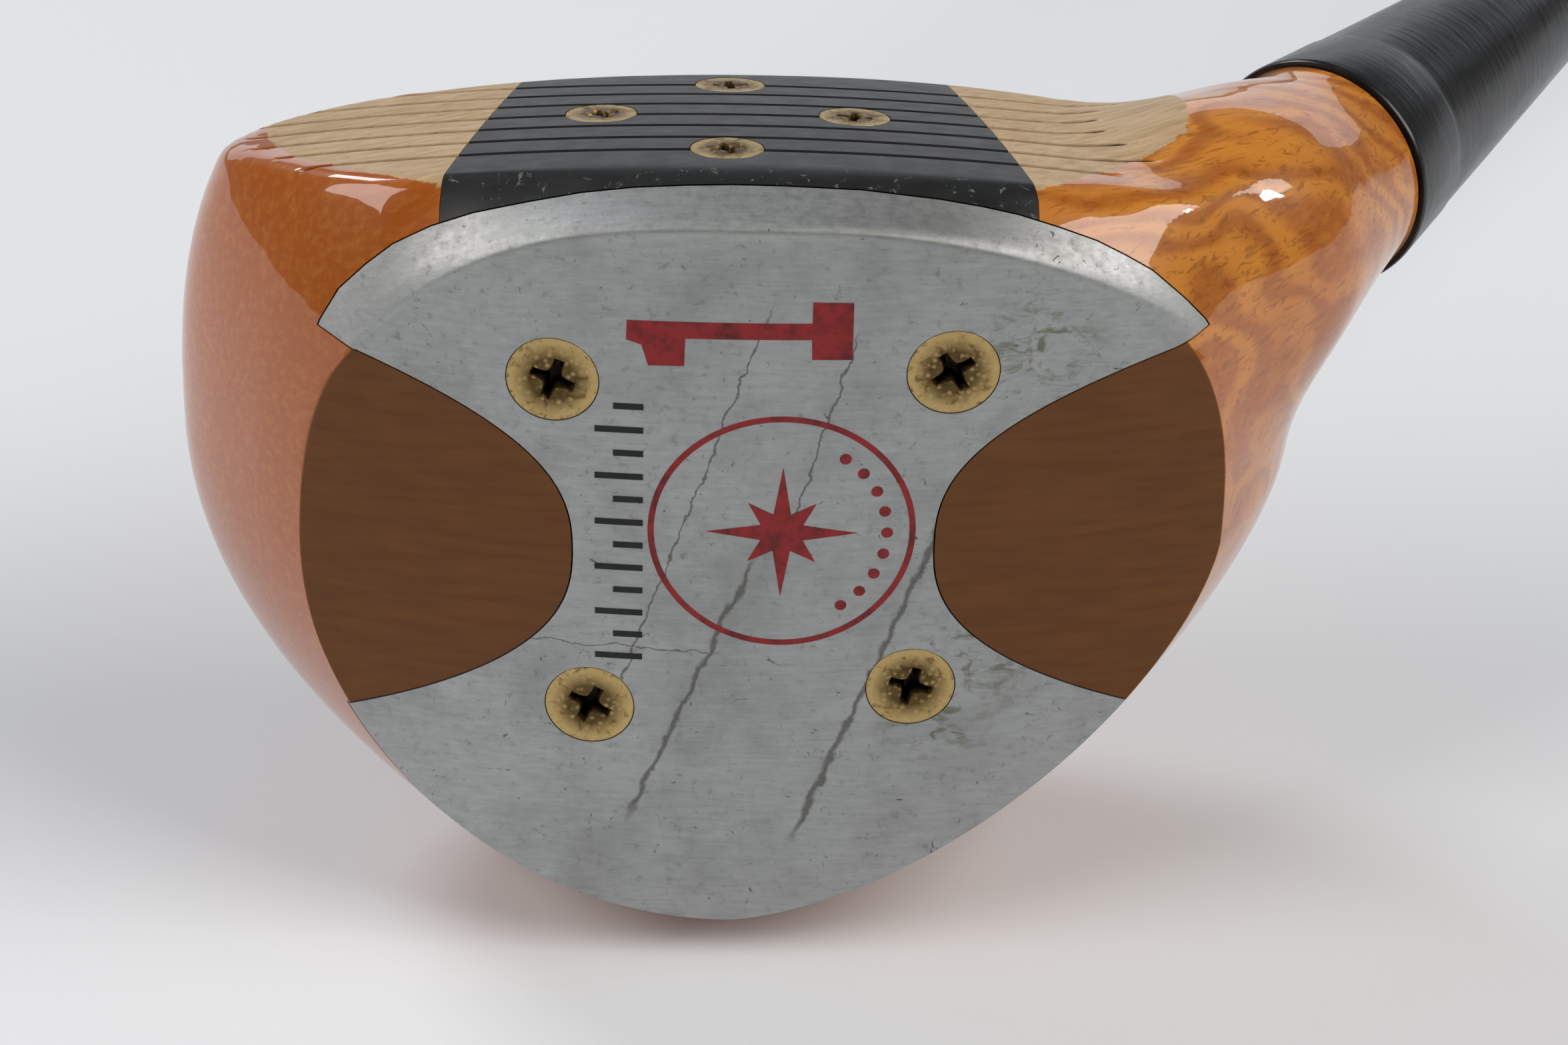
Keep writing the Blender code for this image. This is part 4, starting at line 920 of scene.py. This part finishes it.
enamel_mark("numeral_one", [NUMERAL], enamels[0])
turn = np.linspace(0, 2 * pi, RING_POINTS + 1)
inner, outer = (around(RING_RADIUS + side * RING_HALF, turn) for side in (-1, 1))
ring = [(inner[i], outer[i], outer[i + 1], inner[i + 1]) for i in range(RING_POINTS)]
corner = np.arange(2 * STAR_POINTS)
tips = np.where(corner % 4 == 0, STAR_LONG, STAR_SHORT)
star = around(np.where(corner % 2 == 0, tips, STAR_INNER), corner * pi / STAR_POINTS)
enamel_mark("ring_mark", ring, enamels[0])
enamel_mark("star_mark", [star], enamels[0])
dot_turn = np.linspace(0, 2 * pi, DOT_POINTS, endpoint=False)
dots = [around(DOT_RADIUS, dot_turn, around(DOT_TRACK, angle))
        for angle in np.linspace(-DOT_SPREAD, DOT_SPREAD, DOTS)]
enamel_mark("dot_marks", dots, enamels[0])
dashes = [[(DASH_TOE + inset, z - DASH_HALF), (DASH_HEEL, z - DASH_HALF), (DASH_HEEL, z + DASH_HALF),
           (DASH_TOE + inset, z + DASH_HALF)]
          for z, inset in zip(np.linspace(DASH_BOTTOM, DASH_TOP, DASHES), [0.0, SHORT_DASH] * (DASHES // 2))]
enamel_mark("dash_marks", dashes, enamels[1])

# Neck sleeve: a black plastic cone slipped down over the bound neck. Its foot ends in a thin rounded lip,
# with a shallow step ten millimetres above it.
SLEEVE_TAPER, SLEEVE_WALL, SLEEVE_TOP = 0.097, 0.0006, 0.0620
# (height, radius less the taper) from the bottom of the outside up and back down the bore, in millimetres
SLEEVE_OUTSIDE = [(0.35, 10.90), (0.30, 11.10), (0.45, 11.24), (0.80, 11.28), (4.0, 11.27), (9.2, 11.26),
                  (9.5, 11.20), (9.8, 11.13), (10.4, 11.12), (25.0, 11.14), (61.2, 11.15), (61.8, 11.05),
                  (62.0, 10.80)]
SLEEVE_FOOT_RADIUS, SLEEVE_BORE_FOOT = 0.01115, 0.0003
ROUND, TUBE_SHARP = 96, radians(40)


def turned_grid(profile, per_row=ROUND):
    """A profile of (height, radius) carried round the axis: x = r cos t, y = r sin t, z = height."""
    turn = np.linspace(0, 2 * pi, per_row, endpoint=False)[None]
    height, radius = np.array(profile).T[:, :, None]
    return np.stack([radius * np.cos(turn), radius * np.sin(turn), height + 0 * turn], -1)


def tube_mesh(name, grid, place):
    """A grid that closes round both ways, so that its last row joins its first."""
    rows, columns = grid.shape[:2]
    index = np.arange(rows * columns).reshape(rows, columns)
    beside, after = np.roll(index, -1, 1), np.roll(index, -1, 0)
    square = np.stack([index, beside, np.roll(beside, -1, 0), after], -1).reshape(-1, 4)
    mesh = bpy.data.meshes.new(name)
    mesh.from_pydata(placed(grid.reshape(-1, 3), place).tolist(), [], square.tolist())
    shape = bmesh.new()
    shape.from_mesh(mesh)
    bmesh.ops.recalc_face_normals(shape, faces=shape.faces)
    shape.to_mesh(mesh)
    shape.free()
    mesh.shade_smooth()
    return mesh


sleeve_profile = [(h / 1000, r / 1000 - SLEEVE_TAPER * h / 1000) for h, r in SLEEVE_OUTSIDE]
sleeve_profile += [(h, SLEEVE_FOOT_RADIUS - SLEEVE_WALL - SLEEVE_TAPER * h)
                   for h in (SLEEVE_TOP, SLEEVE_BORE_FOOT)]
sleeve = stand("sleeve", tube_mesh("sleeve", turned_grid(sleeve_profile), neck_frame))
sleeve.data.set_sharp_from_angle(angle=TUBE_SHARP)
# Black plastic: moulded and wiped with polish, so satin, with faint bands round it and a few rub marks.
black_plastic, tree = new_material("satin_black_plastic")
point = in_frame(tree, neck_frame)
band = grain(tree, point, (0.15, 0.15, 1.0), 1.0)
rub = grain(tree, point, (1, 1, 0.3), 0.35, 4.0, 0.7)
relief = add(tree, "Bump", {"Height": band, "Strength": 0.25, "Distance": 0.0002})
surface(tree, {"Base Color": layered(tree, "#151617", (rub, 0.5, 0.8, 1, "#1F2022")), "Normal": relief,
               "Roughness": add(tree, "MapRange", {0: rub, 1: 0.3, 2: 0.7, 3: 0.24, 4: 0.36})})
sleeve.data.materials.append(black_plastic)
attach(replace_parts(sleeve, "neck_sleeve"), "root")

# Shaft: seamless steel tube, drawn in fourteen even steps from tip to butt, then nickel and chromium plated.
SHAFT_TIP, SHAFT_BUTT, SHAFT_WALL = -0.0355, 1.0420, 0.00036
TIP_RADIUS, BUTT_RADIUS, FIRST_STEP, STEP_PITCH, STEPS = 0.00430, 0.00760, 0.150, 0.045, 14
# How far past the foot of a step, and how far up it as a share, each turn of its rounded shoulder lies.
SHOULDER = ((-0.0004, 0.0), (0.0, 0.1), (0.0010, 0.9), (0.0014, 1.0))
SHAFT_ROUND = 64
step_rise = (BUTT_RADIUS - TIP_RADIUS) / STEPS
shaft_profile = [(SHAFT_TIP, TIP_RADIUS)]
for step in range(STEPS):
    shaft_profile += [(FIRST_STEP + step * STEP_PITCH + past, TIP_RADIUS + (step + share) * step_rise)
                      for past, share in SHOULDER]
shaft_profile += [(SHAFT_BUTT, BUTT_RADIUS), (SHAFT_BUTT, BUTT_RADIUS - SHAFT_WALL),
                  (FIRST_STEP + STEPS * STEP_PITCH, BUTT_RADIUS - SHAFT_WALL),
                  (FIRST_STEP, TIP_RADIUS - SHAFT_WALL), (SHAFT_TIP, TIP_RADIUS - SHAFT_WALL)]
shaft_grid = turned_grid(shaft_profile, SHAFT_ROUND)
shaft = stand("stepped_shaft", tube_mesh("stepped_shaft", shaft_grid, neck_frame))
shaft.data.set_sharp_from_angle(angle=TUBE_SHARP)
# Chromium plate: a near mirror, faintly blue, clouded a little by handling.
chrome, tree = new_material("chromium_plated_steel")
cloud = grain(tree, in_frame(tree, neck_frame), (1, 1, 0.2), 0.12, 4.0, 0.6)
surface(tree, {"Base Color": layered(tree, "#C9CDD0", (cloud, 0, 1, 1, "#DADDDF")), "Metallic": 1.0,
               "Roughness": add(tree, "MapRange", {0: cloud, 1: 0.3, 2: 0.75, 3: 0.07, 4: 0.20})})
shaft.data.materials.append(chrome)
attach(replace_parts(shaft, "shaft"), "root")

# Grip: black rubber, moulded as a sleeve with a flared cap, and slipped on over tape. Bands of small
# diamonds run between plain rings, and a vent hole is left in the cap.
GRIP_MOUTH, GRIP_END, CAP_LENGTH, CAP_RADIUS, VENT_RADIUS = 0.7760, 1.0460, 0.0090, 0.0140, 0.0011
MOUTH_RADIUS, GRIP_BUTT_RADIUS, CAP_WALL, GRIP_BORE = 0.0098, 0.0130, 0.0037, 0.0087
DIAMOND_PITCH, DIAMONDS_ROUND, DIAMOND_DEPTH = 0.0052, 16, 0.00045
PATTERN_FROM, PATTERN_TO, BAND_LENGTH, BAND_GAP = 0.7900, 1.0300, 0.0520, 0.0048
GRIP_ROWS, GRIP_ROUND, GRIP_SHARP = 430, 160, radians(50)
GROOVE_SHARE, FADE, LIP_LENGTH = 0.28, 0.001, 0.0020

z = np.linspace(GRIP_MOUTH + LIP_LENGTH, GRIP_END - CAP_LENGTH, GRIP_ROWS)
turn = np.linspace(0, 2 * pi, GRIP_ROUND, endpoint=False)[None]
taper = np.interp(z, (z[0], z[-1]), (MOUTH_RADIUS, GRIP_BUTT_RADIUS))[:, None]
left = np.abs(np.sin(pi * z[:, None] / DIAMOND_PITCH + DIAMONDS_ROUND * turn / 2))
right = np.abs(np.sin(pi * z[:, None] / DIAMOND_PITCH - DIAMONDS_ROUND * turn / 2))
off_band = np.abs((z - PATTERN_FROM) % BAND_LENGTH - BAND_LENGTH / 2)
in_band = 1 - smooth_step(off_band, BAND_LENGTH / 2 - BAND_GAP / 4, BAND_LENGTH / 2 - BAND_GAP / 2)
in_band *= smooth_step(z, PATTERN_FROM, PATTERN_FROM + FADE) * smooth_step(z, PATTERN_TO, PATTERN_TO - FADE)
groove = np.maximum(1 - np.minimum(left, right) / GROOVE_SHARE, 0) * in_band[:, None]
radius = taper - DIAMOND_DEPTH * groove
wall = np.stack([radius * np.cos(turn), radius * np.sin(turn), z[:, None] + 0 * turn], -1)
cap = [(GRIP_END - CAP_LENGTH + 0.0006, 0.0133), (GRIP_END - CAP_LENGTH + 0.0016, 0.01385),
       (GRIP_END - 0.0030, CAP_RADIUS), (GRIP_END - 0.0012, 0.01365), (GRIP_END - 0.0004, 0.0128),
       (GRIP_END, 0.0112), (GRIP_END, 0.0030), (GRIP_END, VENT_RADIUS), (GRIP_END - CAP_WALL, VENT_RADIUS),
       (GRIP_END - CAP_WALL, GRIP_BORE), (GRIP_MOUTH, GRIP_BORE), (GRIP_MOUTH, MOUTH_RADIUS - 0.0006),
       (GRIP_MOUTH + 0.0006, MOUTH_RADIUS - 0.0001)]
grip_grid = np.concatenate([wall, turned_grid(cap, GRIP_ROUND)])
grip = stand("rubber_grip", tube_mesh("rubber_grip", grip_grid, neck_frame))
grip.data.set_sharp_from_angle(angle=GRIP_SHARP)
# Grip rubber: matt black with a grey bloom and the fine grain of a blasted mould.
rubber, tree = new_material("moulded_black_rubber")
point = in_frame(tree, neck_frame)
worn = grain(tree, point, (1, 1, 0.3), 0.10)
relief = add(tree, "Bump", {"Height": grain(tree, point, (1, 1, 1), 3.0, 2.0), "Strength": 0.4,
                            "Distance": 0.0001})
surface(tree, {"Base Color": layered(tree, "#1A1A1A", (worn, 0.4, 0.75, 1, "#2A2A29")), "Normal": relief,
               "Roughness": add(tree, "MapRange", {0: worn, 1: 0.3, 2: 0.7, 3: 0.62, 4: 0.80})})
grip.data.materials.append(rubber)
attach(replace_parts(grip, "grip"), "root")

# Inside the club: a lead weight under the plate, waxed thread and a ferrule under the sleeve, a steel pin
# through the neck, a cork in the shaft's tip and paper tape under the grip. Their solids stay, each with
# its own finish.
# node: (material, two colours, metallic, roughness, cells to a millimetre along x, y and z)
HIDDEN = {
    "swing_weight": ("cast_lead", "#5C5D60", "#77787B", 1.0, 0.60, (0.8, 0.8, 0.8)),
    "whipping": ("waxed_black_thread", "#0E0E0E", "#252422", 0.0, 0.65, (0.3, 0.3, 2.5)),
    "ferrule": ("black_celluloid", "#101011", "#1B1B1C", 0.0, 0.25, (0.4, 0.4, 0.4)),
    "neck_pin": ("bright_steel_wire", "#9A9B9C", "#B4B5B6", 1.0, 0.40, (3.0, 3.0, 0.3)),
    "tip_plug": ("pressed_cork", "#8A6237", "#B68A57", 0.0, 0.90, (1.2, 1.2, 1.2)),
    "underlisting_tape": ("kraft_paper_tape", "#A68F68", "#BBA680", 0.0, 0.85, (0.5, 0.5, 0.2)),
}
for node, (name, dark_hex, light_hex, metallic, roughness, cells) in HIDDEN.items():
    finish, tree = new_material(name)
    speck = grain(tree, in_frame(tree, neck_frame), cells, 1.0, 3.0, 0.6)
    relief = add(tree, "Bump", {"Height": speck, "Strength": 0.3, "Distance": 0.0002})
    surface(tree, {"Base Color": layered(tree, dark_hex, (speck, 0.3, 0.7, 1, light_hex)),
                   "Metallic": metallic, "Roughness": roughness, "Normal": relief})
    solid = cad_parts[node]
    for slot in range(max(1, len(solid.material_slots))):
        if not solid.material_slots:
            solid.data.materials.append(finish)
        solid.material_slots[slot].material = finish
